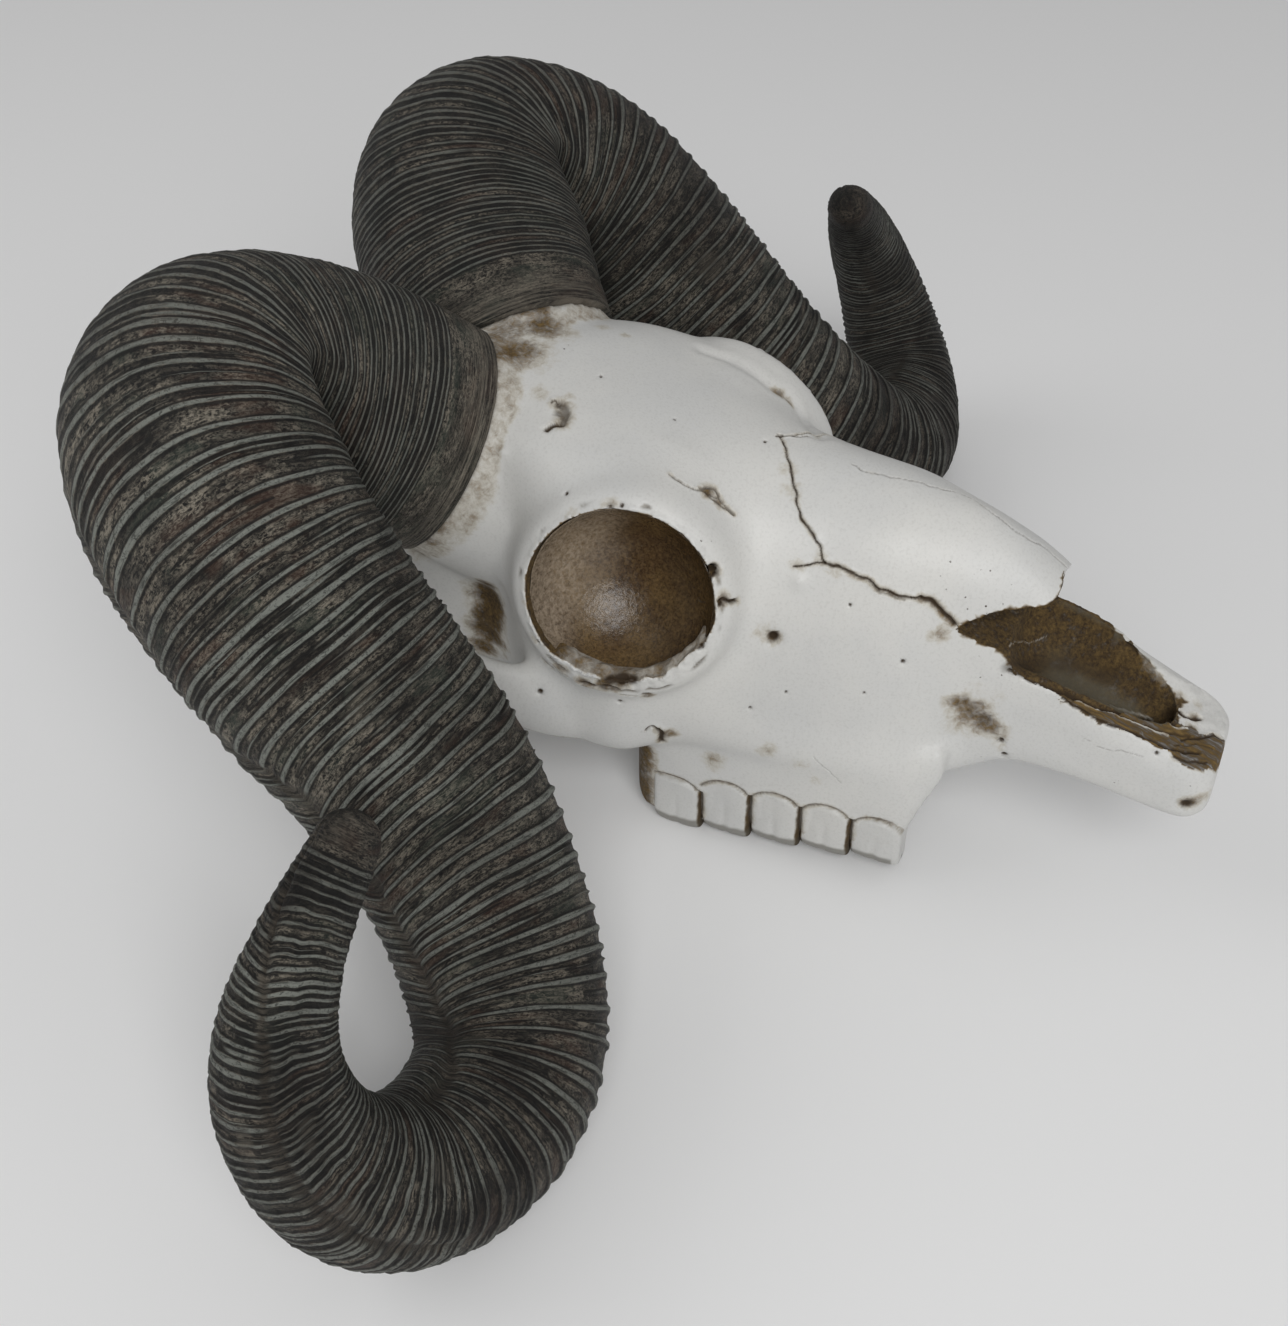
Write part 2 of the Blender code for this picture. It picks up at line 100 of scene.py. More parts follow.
def place(out: float, forward: float, up: float, sign: float = 1.0) -> Vector:
    """Turns millimetres from the brow into a point of the model's frame.

    Args:
        out: distance from the midline.
        forward: distance towards the nose.
        up: height over the brow.
        sign: 1 for the animal's left, -1 for its right.

    Returns:
        The point in metres.
    """
    return Vector((sign * out, BROW_BACK - forward, BROW_HEIGHT + up)) * MM


def place_all(rows: Array, sign: float = 1.0) -> Array:
    """Turns rows of (out, forward, up) in millimetres into points of the model's frame.

    Args:
        rows: an array whose last axis holds out, forward and up.
        sign: 1 for the animal's left, -1 for its right.

    Returns:
        The points in metres, in an array of the same shape.
    """
    out, forward, up = np.moveaxis(np.asarray(rows, float), -1, 0)
    return np.stack([sign * out, BROW_BACK - forward, BROW_HEIGHT + up], axis=-1) * MM


def ramp(low: float, high: float, values: Array) -> Array:
    """A soft step from 0 at low to 1 at high.

    Args:
        low: the value where the step starts.
        high: the value where it ends, which may be under low.
        values: what is stepped.

    Returns:
        The steps, from 0 to 1.
    """
    share = np.clip((np.asarray(values, float) - low) / (high - low), 0.0, 1.0)
    return share * share * (3.0 - 2.0 * share)


def grain(points: Array, size: float, seed: float = 0.0) -> Array:
    """Smooth noise at many points.

    Args:
        points: the points, along the last axis.
        size: how wide one lump of the noise is, in the points' unit.
        seed: moves the pattern, so that two uses differ.

    Returns:
        One value for each point, about -1 to 1.
    """
    shift = Vector((seed * 13.7, -seed * 7.3, seed * 3.1))
    scaled = np.asarray(points, float) / size
    values = [noise.noise(Vector(row) + shift) for row in scaled.reshape(-1, 3)]
    return np.array(values).reshape(scaled.shape[:-1])


def unit(rows: Array) -> Array:
    """Scales each row to length 1."""
    return rows / np.maximum(np.linalg.norm(rows, axis=-1, keepdims=True), 1e-12)


def round_angles(count: int) -> Array:
    """Evenly spaced angles round a full turn."""
    return np.arange(count) * 2 * np.pi / count


def squared(values: Array, power: float) -> Array:
    """Raises values to a power and keeps their signs. Under 1, it squares off a circle."""
    return np.sign(values) * np.abs(values) ** power


def forward_of(points: Array) -> Array:
    """How far points of the model's frame lie in front of the brow, in mm."""
    return BROW_BACK - points[:, 1] / MM


def height_of(points: Array) -> Array:
    """How high points of the model's frame lie over the brow, in mm."""
    return points[:, 2] / MM - BROW_HEIGHT


def turned(points: Array, matrix: Matrix) -> Array:
    """Moves points by a matrix, one row each."""
    return points @ np.array(matrix.to_3x3()).T + np.array(matrix.translation)


def tree_of(points: Array) -> KDTree:
    """A tree that finds the nearest of many points.

    Args:
        points: the points, one row each.

    Returns:
        The tree, which knows each point by its row.
    """
    tree = KDTree(len(points))
    for k, point in enumerate(points):
        tree.insert(point, k)
    tree.balance()
    return tree


def catmull(points: Array, steps: int, closed: bool = False) -> Array:
    """A smooth curve through points.

    Args:
        points: one row for each point.
        steps: how many points are made for each stretch.
        closed: whether the last point leads back to the first.

    Returns:
        The curve's points, one row each.
    """
    rows = np.asarray(points, float)
    if closed:
        padded = np.vstack([rows[-1:], rows, rows[:2]])
    else:
        padded = np.vstack([2 * rows[:1] - rows[1:2], rows, 2 * rows[-1:] - rows[-2:-1]])
    curve = []
    for i in range(len(rows) if closed else len(rows) - 1):
        a, b, c, d = padded[i : i + 4]
        for step in range(steps):
            t = step / steps
            bend = (2 * a - 5 * b + 4 * c - d) * t**2 + (3 * b - a - 3 * c + d) * t**3
            curve.append(0.5 * (2 * b + (c - a) * t + bend))
    if not closed:
        curve.append(rows[-1])
    return np.array(curve)


class Bench:
    """Blender's modelling operators and mesh values, used on one piece at a time."""

    @staticmethod
    def clear() -> None:
        """Deselects everything and leaves edit mode."""
        if bpy.context.object and bpy.context.object.mode != "OBJECT":
            bpy.ops.object.mode_set(mode="OBJECT")
        bpy.ops.object.select_all(action="DESELECT")

    @staticmethod
    def choose(piece: Piece) -> None:
        """Makes one piece the selected and active one.

        Args:
            piece: the piece.
        """
        Bench.clear()
        piece.select_set(True)
        bpy.context.view_layer.objects.active = piece

    @staticmethod
    def edit_all(piece: Piece) -> None:
        """Enters edit mode on a piece with everything selected.

        Args:
            piece: the piece.
        """
        Bench.choose(piece)
        bpy.ops.object.mode_set(mode="EDIT")
        bpy.ops.mesh.select_all(action="SELECT")

    @staticmethod
    def read(rows: bpy.types.bpy_prop_collection, key: str) -> Array:
        """Reads one vector of each of a mesh's rows.

        Args:
            rows: the rows.
            key: the vector's name.

        Returns:
            The vectors, one row each.
        """
        flat = np.empty(len(rows) * 3, np.float32)
        rows.foreach_get(key, flat)
        return flat.reshape(-1, 3).astype(float)

    @staticmethod
    def points(piece: Piece) -> Array:
        """The places of a piece's points, one row each."""
        return Bench.read(piece.data.vertices, "co")

    @staticmethod
    def normals(piece: Piece) -> Array:
        """The directions in which a piece's points face, one row each."""
        return Bench.read(piece.data.vertex_normals, "vector")

    @staticmethod
    def move(piece: Piece, points: Array) -> None:
        """Puts a piece's points at new places."""
        piece.data.vertices.foreach_set("co", np.asarray(points, np.float32).ravel())
        piece.data.update()

    @staticmethod
    def wrap(name: str, rings: Array) -> Piece:
        """Wraps a flat sheet into a tube with closed ends.

        Args:
            name: the new piece's name.
            rings: the tube's points, by ring and place on the ring, in metres.

        Returns:
            The tube, facing out.
        """
        count, around, _ = rings.shape
        Bench.clear()
        bpy.ops.mesh.primitive_grid_add(x_subdivisions=around, y_subdivisions=count - 1, size=1.0)
        piece = bpy.context.object
        piece.name = name
        flat = Bench.points(piece)
        columns = np.rint((flat[:, 0] + 0.5) * around).astype(int) % around
        rows = np.rint((flat[:, 1] + 0.5) * (count - 1)).astype(int)
        Bench.move(piece, rings[rows, columns])
        bpy.context.tool_settings.mesh_select_mode = (True, False, False)
        Bench.edit_all(piece)
        bpy.ops.mesh.remove_doubles(threshold=1e-7)
        bpy.ops.mesh.select_all(action="DESELECT")
        bpy.ops.mesh.select_non_manifold()
        bpy.ops.mesh.fill_holes(sides=0)
        bpy.ops.mesh.select_all(action="SELECT")
        bpy.ops.mesh.normals_make_consistent(inside=False)
        bpy.ops.object.mode_set(mode="OBJECT")
        return piece

    @staticmethod
    def ball(name: str, centre: Vector, radius: float, stretch: tuple) -> Piece:
        """Adds a stretched ball.

        Args:
            name: the new piece's name.
            centre: its middle, in metres.
            radius: its radius before stretching, in metres.
            stretch: how much it is stretched along X, Y and Z.

        Returns:
            The ball.
        """
        Bench.clear()
        bpy.ops.mesh.primitive_uv_sphere_add(segments=48, ring_count=24, radius=radius, location=centre)
        piece = bpy.context.object
        piece.name = name
        piece.scale = stretch
        Bench.fix_place(piece)
        return piece

    @staticmethod
    def fix_place(piece: Piece) -> None:
        """Moves a piece's place, turn and scale into its mesh."""
        Bench.choose(piece)
        bpy.ops.object.transform_apply(location=True, rotation=True, scale=True)

    @staticmethod
    def join(pieces: list[Piece], name: str) -> Piece:
        """Joins pieces into one object.

        Args:
            pieces: what is joined.
            name: the joined object's name.

        Returns:
            The joined object.
        """
        Bench.choose(pieces[0])
        for piece in pieces[1:]:
            piece.select_set(True)
        bpy.ops.object.join()
        joined = bpy.context.object
        joined.name = name
        return joined

    @staticmethod
    def apply(piece: Piece, kind: str, **settings: object) -> None:
        """Adds one modifier to a piece and applies it.

        Args:
            piece: the piece that is changed.
            kind: Blender's name of the modifier's type.
            settings: the modifier's own values.
        """
        Bench.choose(piece)
        step = piece.modifiers.new(kind.title(), kind)
        for key, value in settings.items():
            setattr(step, key, value)
        bpy.ops.object.modifier_apply(modifier=step.name)

    @staticmethod
    def carve(piece: Piece, cutter: Piece) -> None:
        """Cuts one closed shape out of another and drops the cutter.

        Args:
            piece: the piece that is cut.
            cutter: the shape that is taken away.
        """
        Bench.apply(piece, "BOOLEAN", operation="DIFFERENCE", solver="MANIFOLD", object=cutter)
        bpy.data.objects.remove(cutter, do_unlink=True)

    @staticmethod
    def keep_layers(piece: Piece, layers: dict[Layer, Array]) -> None:
        """Stores values or vectors on a piece's points.

        Args:
            piece: the piece.
            layers: by the name that the finish reads, one number or one row of three for each point.
        """
        for layer, values in layers.items():
            values = np.asarray(values, np.float32)
            wide = values.ndim == 2
            made = piece.data.attributes.new(layer.value, "FLOAT_VECTOR" if wide else "FLOAT", "POINT")
            made.data.foreach_set("vector" if wide else "value", values.ravel())

    @staticmethod
    def hand_over(
        piece: Piece, slot: Slot, nodes: list[str], crease: float = 180.0
    ) -> Piece:
        """Shades a finished piece smoothly and ties it to the frame.

        Args:
            piece: the piece.
            slot: the record's slot of its finish; not used.
            nodes: the nodes that it stands for.
            crease: the angle in degrees over which an edge stays sharp.

        Returns:
            The piece.
        """
        Bench.choose(piece)
        if crease >= 180.0:
            bpy.ops.object.shade_smooth()
        else:
            bpy.ops.object.shade_smooth_by_angle(angle=math.radians(crease))
        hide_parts(*nodes)
        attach(piece, BODY)
        return piece


class Nodes:
    """A short way to write the nodes of one finish."""

    def __init__(self, name: str) -> None:
        """Starts a material with its shader and output.

        Args:
            name: the material's name.
        """
        self.material = bpy.data.materials.new(name)
        self.material.use_nodes = True
        self.tree = self.material.node_tree
        self.shader = self.tree.nodes["Principled BSDF"]

    def add(self, kind: str, **settings: object) -> bpy.types.Node:
        """Adds one node.

        Args:
            kind: the node's type, without ShaderNode.
            settings: the node's own values.

        Returns:
            The node.
        """
        node = self.tree.nodes.new("ShaderNode" + kind)
        for key, value in settings.items():
            setattr(node, key, value)
        return node

    def feed(self, socket: Socket, value: object) -> None:
        """Links a socket to another one, or sets its value.

        Args:
            socket: what is fed.
            value: the other socket, a plain value, or None to leave it as it is.
        """
        if isinstance(value, Socket):
            self.tree.links.new(value, socket)
        elif value is not None:
            socket.default_value = value

    def filled(self, kind: str, **values: object) -> Socket:
        """Adds a node with one output and feeds it.

        Args:
            kind: the node's type, without ShaderNode.
            values: what each of its sockets gets, by the socket's name.

        Returns:
            Its first output.
        """
        node = self.add(kind)
        for name, value in values.items():
            self.feed(node.inputs[name], value)
        return node.outputs[0]

    def layer(self, layer: Layer) -> Socket:
        """Reads a stored value."""
        node = self.add("Attribute", attribute_name=layer.value)
        return node.outputs["Vector" if layer is Layer.UNROLLED else "Fac"]

    def object_place(self) -> Socket:
        """Reads the place on the object, in metres."""
        return self.add("TexCoord").outputs["Object"]

    def math(
        self, operation: str, first: object, second: object, clamp: bool = False
    ) -> Socket:
        """One sum of two values.

        Args:
            operation: Blender's name of the sum.
            first: the first value.
            second: the second value.
            clamp: whether the result is kept from 0 to 1.

        Returns:
            The result.
        """
        node = self.add("Math", operation=operation, use_clamp=clamp)
        self.feed(node.inputs[0], first)
        self.feed(node.inputs[1], second)
        return node.outputs[0]

    def stretch(
        self, vector: object, scale: tuple, turn: tuple = (0.0, 0.0, 0.0)
    ) -> Socket:
        """Scales a pattern's coordinates, then turns them."""
        return self.filled("Mapping", Vector=vector, Scale=scale, Rotation=turn)

    def noise(
        self, vector: object, scale: float, detail: float = 3.0, rough: float = 0.55, bend: float = 0.0
    ) -> Socket:
        """A noise pattern.

        Args:
            vector: the coordinates it reads.
            scale: lumps for each unit of the coordinates.
            detail: how many finer layers it has.
            rough: how strong the finer layers are.
            bend: how much the pattern folds over itself.

        Returns:
            The noise, about 0.3 to 0.7.
        """
        return self.filled(
            "TexNoise", Vector=vector, Scale=scale, Detail=detail, Roughness=rough, Distortion=bend
        )

    def between(self, value: object, low: float, high: float) -> Socket:
        """A soft step.

        Args:
            value: what is stepped.
            low: the value where the step is 0.
            high: the value where it is 1, which may be under low.

        Returns:
            The step, from 0 to 1.
        """
        node = self.add("MapRange", interpolation_type="SMOOTHSTEP")
        self.feed(node.inputs["Value"], value)
        node.inputs["From Min"].default_value = min(low, high)
        node.inputs["From Max"].default_value = max(low, high)
        node.inputs["To Min"].default_value = float(low > high)
        node.inputs["To Max"].default_value = float(low < high)
        return node.outputs[0]

    def times(self, first: object, second: object) -> Socket:
        """Two values multiplied."""
        return self.math("MULTIPLY", first, second)

    def plus(self, first: object, second: object, clamp: bool = False) -> Socket:
        """Two values added, and kept from 0 to 1 where clamp says so."""
        return self.math("ADD", first, second, clamp)

    def less(self, first: object, second: object) -> Socket:
        """The second value taken from the first."""
        return self.math("SUBTRACT", first, second)

    def mix(
        self, share: object, first: object, second: object, blend_type: str = "MIX"
    ) -> Socket:
        """Mixes two colours.

        Args:
            share: how much of the second there is, from 0 to 1.
            first: the colour under it.
            second: the colour over it.
            blend_type: Blender's name of the way in which they mix.

        Returns:
            The mixed colour.
        """
        node = self.add("Mix", data_type="RGBA", blend_type=blend_type)
        for k, value in ((0, share), (6, first), (7, second)):
            self.feed(node.inputs[k], value)
        return node.outputs[2]

    def bump(
        self, height: object, strength: float, distance: float, below: object = None
    ) -> Socket:
        """Turns heights into a bumpy surface.

        Args:
            height: the heights, from 0 to 1.
            strength: how strongly they show, from 0 to 1.
            distance: how high 1 is, in metres.
            below: a bumpy surface that this one lies on.

        Returns:
            The surface's direction.
        """
        return self.filled("Bump", Height=height, Normal=below, Strength=strength, Distance=distance)

    def finish(
        self, colour: object, rough: object, surface: object, gloss: float
    ) -> Material:
        """Feeds the shader.

        Args:
            colour: the colour.
            rough: the roughness.
            surface: the direction that the surface faces.
            gloss: how strongly it reflects, where 0.5 is a usual varnish.

        Returns:
            The finished material.
        """
        inputs = self.shader.inputs
        self.feed(inputs["Base Color"], colour)
        self.feed(inputs["Roughness"], rough)
        self.feed(inputs["Normal"], surface)
        inputs["Specular IOR Level"].default_value = gloss
        return self.material


def tone(red: float, green: float, blue: float) -> tuple[float, float, float, float]:
    """A colour from its 0 to 255 values as a screen shows them."""
    parts = [value / 255.0 for value in (red, green, blue)]
    return tuple([v / 12.92 if v <= 0.04045 else ((v + 0.055) / 1.055) ** 2.4 for v in parts] + [1.0])


@dataclass(frozen=True)
class HornPaint:
    """Dark horn with grey-green dry-brushed ridges, brown hollows and scratchy panels."""

    crest: tuple = tone(128, 131, 124)
    panel: tuple = tone(136, 129, 116)
    hollow: tuple = tone(15, 14, 13)
    brown: tuple = tone(80, 54, 41)
    green: tuple = tone(58, 70, 61)
    # What the darkest painted shade and darker patches leave of each colour.
    dusk: tuple = (0.30, 0.28, 0.27, 1.0)
    roughness: float = 0.6

    def make(self) -> Material:
        """Builds the material.

        Returns:
            The material.
        """
        nodes = Nodes("horn_paint")
        flat = nodes.layer(Layer.UNROLLED)
        edge = nodes.layer(Layer.EDGE)
        calm = nodes.layer(Layer.CALM)
        shade = nodes.layer(Layer.SHADE)
        # Scratchy panels between the ribs.
        grit = nodes.noise(nodes.stretch(flat, (1.3, 0.8, 0.8)), 1.3, 5.0, 0.74, 0.8)
        hatch = nodes.noise(nodes.stretch(flat, (2.0, 0.5, 0.5), (0.0, 0.5, 0.5)), 1.0, 5.0, 0.66, 1.2)
        fine = nodes.noise(nodes.stretch(flat, (1.9, 0.16, 0.16)), 1.0, 5.0, 0.70, 0.6)
        scribble = nodes.plus(nodes.times(grit, 0.5), nodes.times(hatch, 0.5))
        scratch = nodes.times(nodes.between(scribble, 0.43, 0.60), 0.8)
        scratch = nodes.plus(scratch, nodes.times(nodes.between(fine, 0.50, 0.66), 0.4), clamp=True)
        blotch = nodes.noise(nodes.stretch(flat, (0.12, 0.05, 0.05)), 1.0, 4.0, 0.6, 0.4)
        patch = nodes.noise(nodes.stretch(flat, (0.26, 0.10, 0.10)), 1.0, 4.0, 0.62, 0.3)
        lit = nodes.times(scratch, nodes.plus(nodes.between(patch, 0.36, 0.62), 0.30))
        panel = nodes.mix(lit, self.hollow, self.panel)
        panel = nodes.mix(nodes.times(nodes.between(blotch, 0.52, 0.66), 0.38), panel, self.brown)
        panel = nodes.mix(nodes.times(nodes.between(blotch, 0.46, 0.34), 0.35), panel, self.green)
        # Ribs: a flat light crest with a painted shadow line on each side.
        worn = nodes.math("MAXIMUM", nodes.between(fine, 0.50, 0.64), nodes.between(grit, 0.50, 0.62))
        crest = nodes.mix(nodes.times(worn, 0.72), self.crest, self.hollow)
        dense = nodes.layer(Layer.GREY)
        on_crest = nodes.times(nodes.between(edge, 0.08, -0.14), nodes.between(calm, 1.0, 0.2))
        on_crest = nodes.times(on_crest, nodes.less(1.0, nodes.times(dense, 0.3)))
        # Painted shadow: a dark line along both sides of each crest.
        side_line = nodes.times(nodes.between(edge, -0.05, 0.12), nodes.between(edge, 0.75, 0.3))
        lined = nodes.mix(nodes.times(side_line, 0.85), panel, self.hollow)
        ribbed = nodes.mix(on_crest, lined, crest)
        # The smooth bands are greyer, with fine streaks.
        streak = nodes.noise(nodes.stretch(flat, (1.9, 0.06, 0.06)), 1.0, 6.0, 0.7, 0.5)
        band = nodes.mix(nodes.between(streak, 0.40, 0.60), self.hollow, self.panel)
        colour = nodes.mix(nodes.times(calm, 0.6), ribbed, band)
        # Painted shade inside the bends, in the keels, on the loop and on the far horn, with random darker
        # patches.
        dusk = nodes.mix(shade, (1.0, 1.0, 1.0, 1.0), self.dusk)
        darker = nodes.mix(1.0, colour, dusk, blend_type="MULTIPLY")
        rough = nodes.plus(nodes.times(scribble, 0.25), self.roughness - 0.12)
        height = nodes.plus(nodes.times(scribble, 0.6), nodes.times(fine, 0.6))
        return nodes.finish(darker, rough, nodes.bump(height, 0.8, 0.0016), 0.3)


@dataclass(frozen=True)
class BonePaint:
    """Satin off-white resin with brown washes in its hollows and cracks, and painted shade under the
    cheekbone, at the rear of the teeth's bone and under the teeth's faces.
    """

    white: tuple = tone(208, 207, 203)
    cool: tuple = tone(199, 199, 197)
    halo: tuple = tone(150, 132, 84)
    stain: tuple = tone(118, 95, 54)
    deep: tuple = tone(52, 39, 23)
    grey: tuple = tone(86, 81, 68)
    roughness: float = 0.42

    def make(self) -> Material:
        """Builds the material.

        Returns:
            The material.
        """
        nodes = Nodes("bone_paint")
        where = nodes.object_place()
        cloud = nodes.noise(where, 22.0, 4.0, 0.55, 0.2)
        speck = nodes.noise(where, 1400.0, 2.0, 0.6)
        base = nodes.mix(nodes.between(cloud, 0.3, 0.7), self.cool, self.white)
        base = nodes.mix(nodes.times(nodes.between(speck, 0.45, 0.75), 0.10), base, self.grey)
        ragged = nodes.noise(where, 520.0, 5.0, 0.65, 0.6)
        wide = nodes.noise(where, 150.0, 4.0, 0.6, 0.4)
        broken = nodes.plus(nodes.times(ragged, 0.6), nodes.times(wide, 0.4))
        along = nodes.stretch(nodes.stretch(where, (1.0, 1.0, 1.0), (-0.34, 0.0, 0.0)), (1.0, 0.05, 1.0))
        streaks = nodes.noise(along, 900.0, 3.0, 0.6, 0.3)
        straight = nodes.times(nodes.layer(Layer.STREAK), nodes.less(streaks, broken))
        broken = nodes.plus(broken, straight)
        # The stain layer holds the brown washes and also painted shade under the cheekbone and at the rear
        # of the teeth's bone.
        stain = nodes.layer(Layer.STAIN)
        spread = nodes.plus(stain, nodes.times(nodes.less(broken, 0.5), 1.7))
        spread = nodes.times(nodes.between(spread, 0.1, 1.15), nodes.between(stain, 0.0, 0.3))
        flecks = nodes.noise(where, 1100.0, 4.0, 0.7, 0.3)
        straight = nodes.times(nodes.layer(Layer.STREAK), nodes.less(streaks, flecks))
        flecks = nodes.plus(flecks, straight)
        mottled = nodes.plus(nodes.times(broken, 0.45), nodes.times(flecks, 0.55))
        middle = nodes.times(nodes.less(stain, 0.9), 0.7)
        deeper = nodes.plus(nodes.between(mottled, 0.72, 0.30), middle, clamp=True)
        inner = nodes.mix(deeper, self.stain, self.deep)
        brown = nodes.mix(nodes.between(spread, 0.1, 0.7), self.halo, inner)
        colour = nodes.mix(spread, base, brown)
        # Grey paint on the nasal floor, a little grey low on the bone, and painted shade under the teeth's
        # faces.
        colour = nodes.mix(nodes.times(nodes.layer(Layer.GREY), 0.85), colour, self.grey)
        colour = nodes.mix(nodes.layer(Layer.CRACK), colour, self.deep)
        holes = nodes.add("TexVoronoi")
        nodes.feed(holes.inputs["Vector"], where)
        holes.inputs["Scale"].default_value = 480.0
        dots = nodes.between(holes.outputs["Distance"], 0.17, 0.10)
        dots = nodes.times(dots, nodes.layer(Layer.SPECKS))
        dots = nodes.times(dots, nodes.between(ragged, 0.48, 0.54))
        colour = nodes.mix(dots, colour, self.deep)
        rough = nodes.plus(nodes.times(wide, 0.2), self.roughness - 0.1)
        rough = nodes.plus(rough, nodes.times(spread, 0.5))
        fine = nodes.bump(speck, 0.12, 0.0004)
        return nodes.finish(colour, rough, nodes.bump(cloud, 0.15, 0.0015, fine), 0.4)


@dataclass(frozen=True)
class SocketPaint:
    """Glossy olive-brown wash inside the eye sockets, with a painted reflection on the rear wall and painted
    shade on the front wall.
    """

    light: tuple = tone(112, 90, 58)
    brown: tuple = tone(80, 60, 38)
    deep: tuple = tone(36, 27, 17)
    # The pale grey-tan of the painted reflection.
    dust: tuple = tone(166, 152, 134)
    roughness: float = 0.15

    def make(self) -> Material:
        """Builds the material.

        Returns:
            The material.
        """
        nodes = Nodes("socket_paint")
        where = nodes.object_place()
        cloud = nodes.noise(where, 60.0, 4.0, 0.6, 0.5)
        speck = nodes.noise(where, 1500.0, 4.0, 0.8)
        grit = nodes.noise(where, 900.0, 4.0, 0.7, 0.4)
        colour = nodes.mix(nodes.between(cloud, 0.36, 0.66), self.brown, self.light)
        # Darker near the rim, in random patches and, as painted shade, on the front wall.
        colour = nodes.mix(nodes.layer(Layer.STAIN), colour, self.deep)
        colour = nodes.mix(nodes.times(nodes.between(speck, 0.40, 0.62), 0.65), colour, self.deep)
        colour = nodes.mix(nodes.times(nodes.between(grit, 0.46, 0.62), 0.42), colour, self.light)
        # Painted reflection: a pale grey-tan sheen on the rear wall.
        dusty = nodes.times(nodes.layer(Layer.GREY), nodes.between(grit, 0.15, 0.75))
        colour = nodes.mix(dusty, colour, self.dust)
        rough = nodes.plus(nodes.times(grit, 0.3), self.roughness - 0.1)
        return nodes.finish(colour, rough, nodes.bump(grit, 0.3, 0.0006), 0.5)


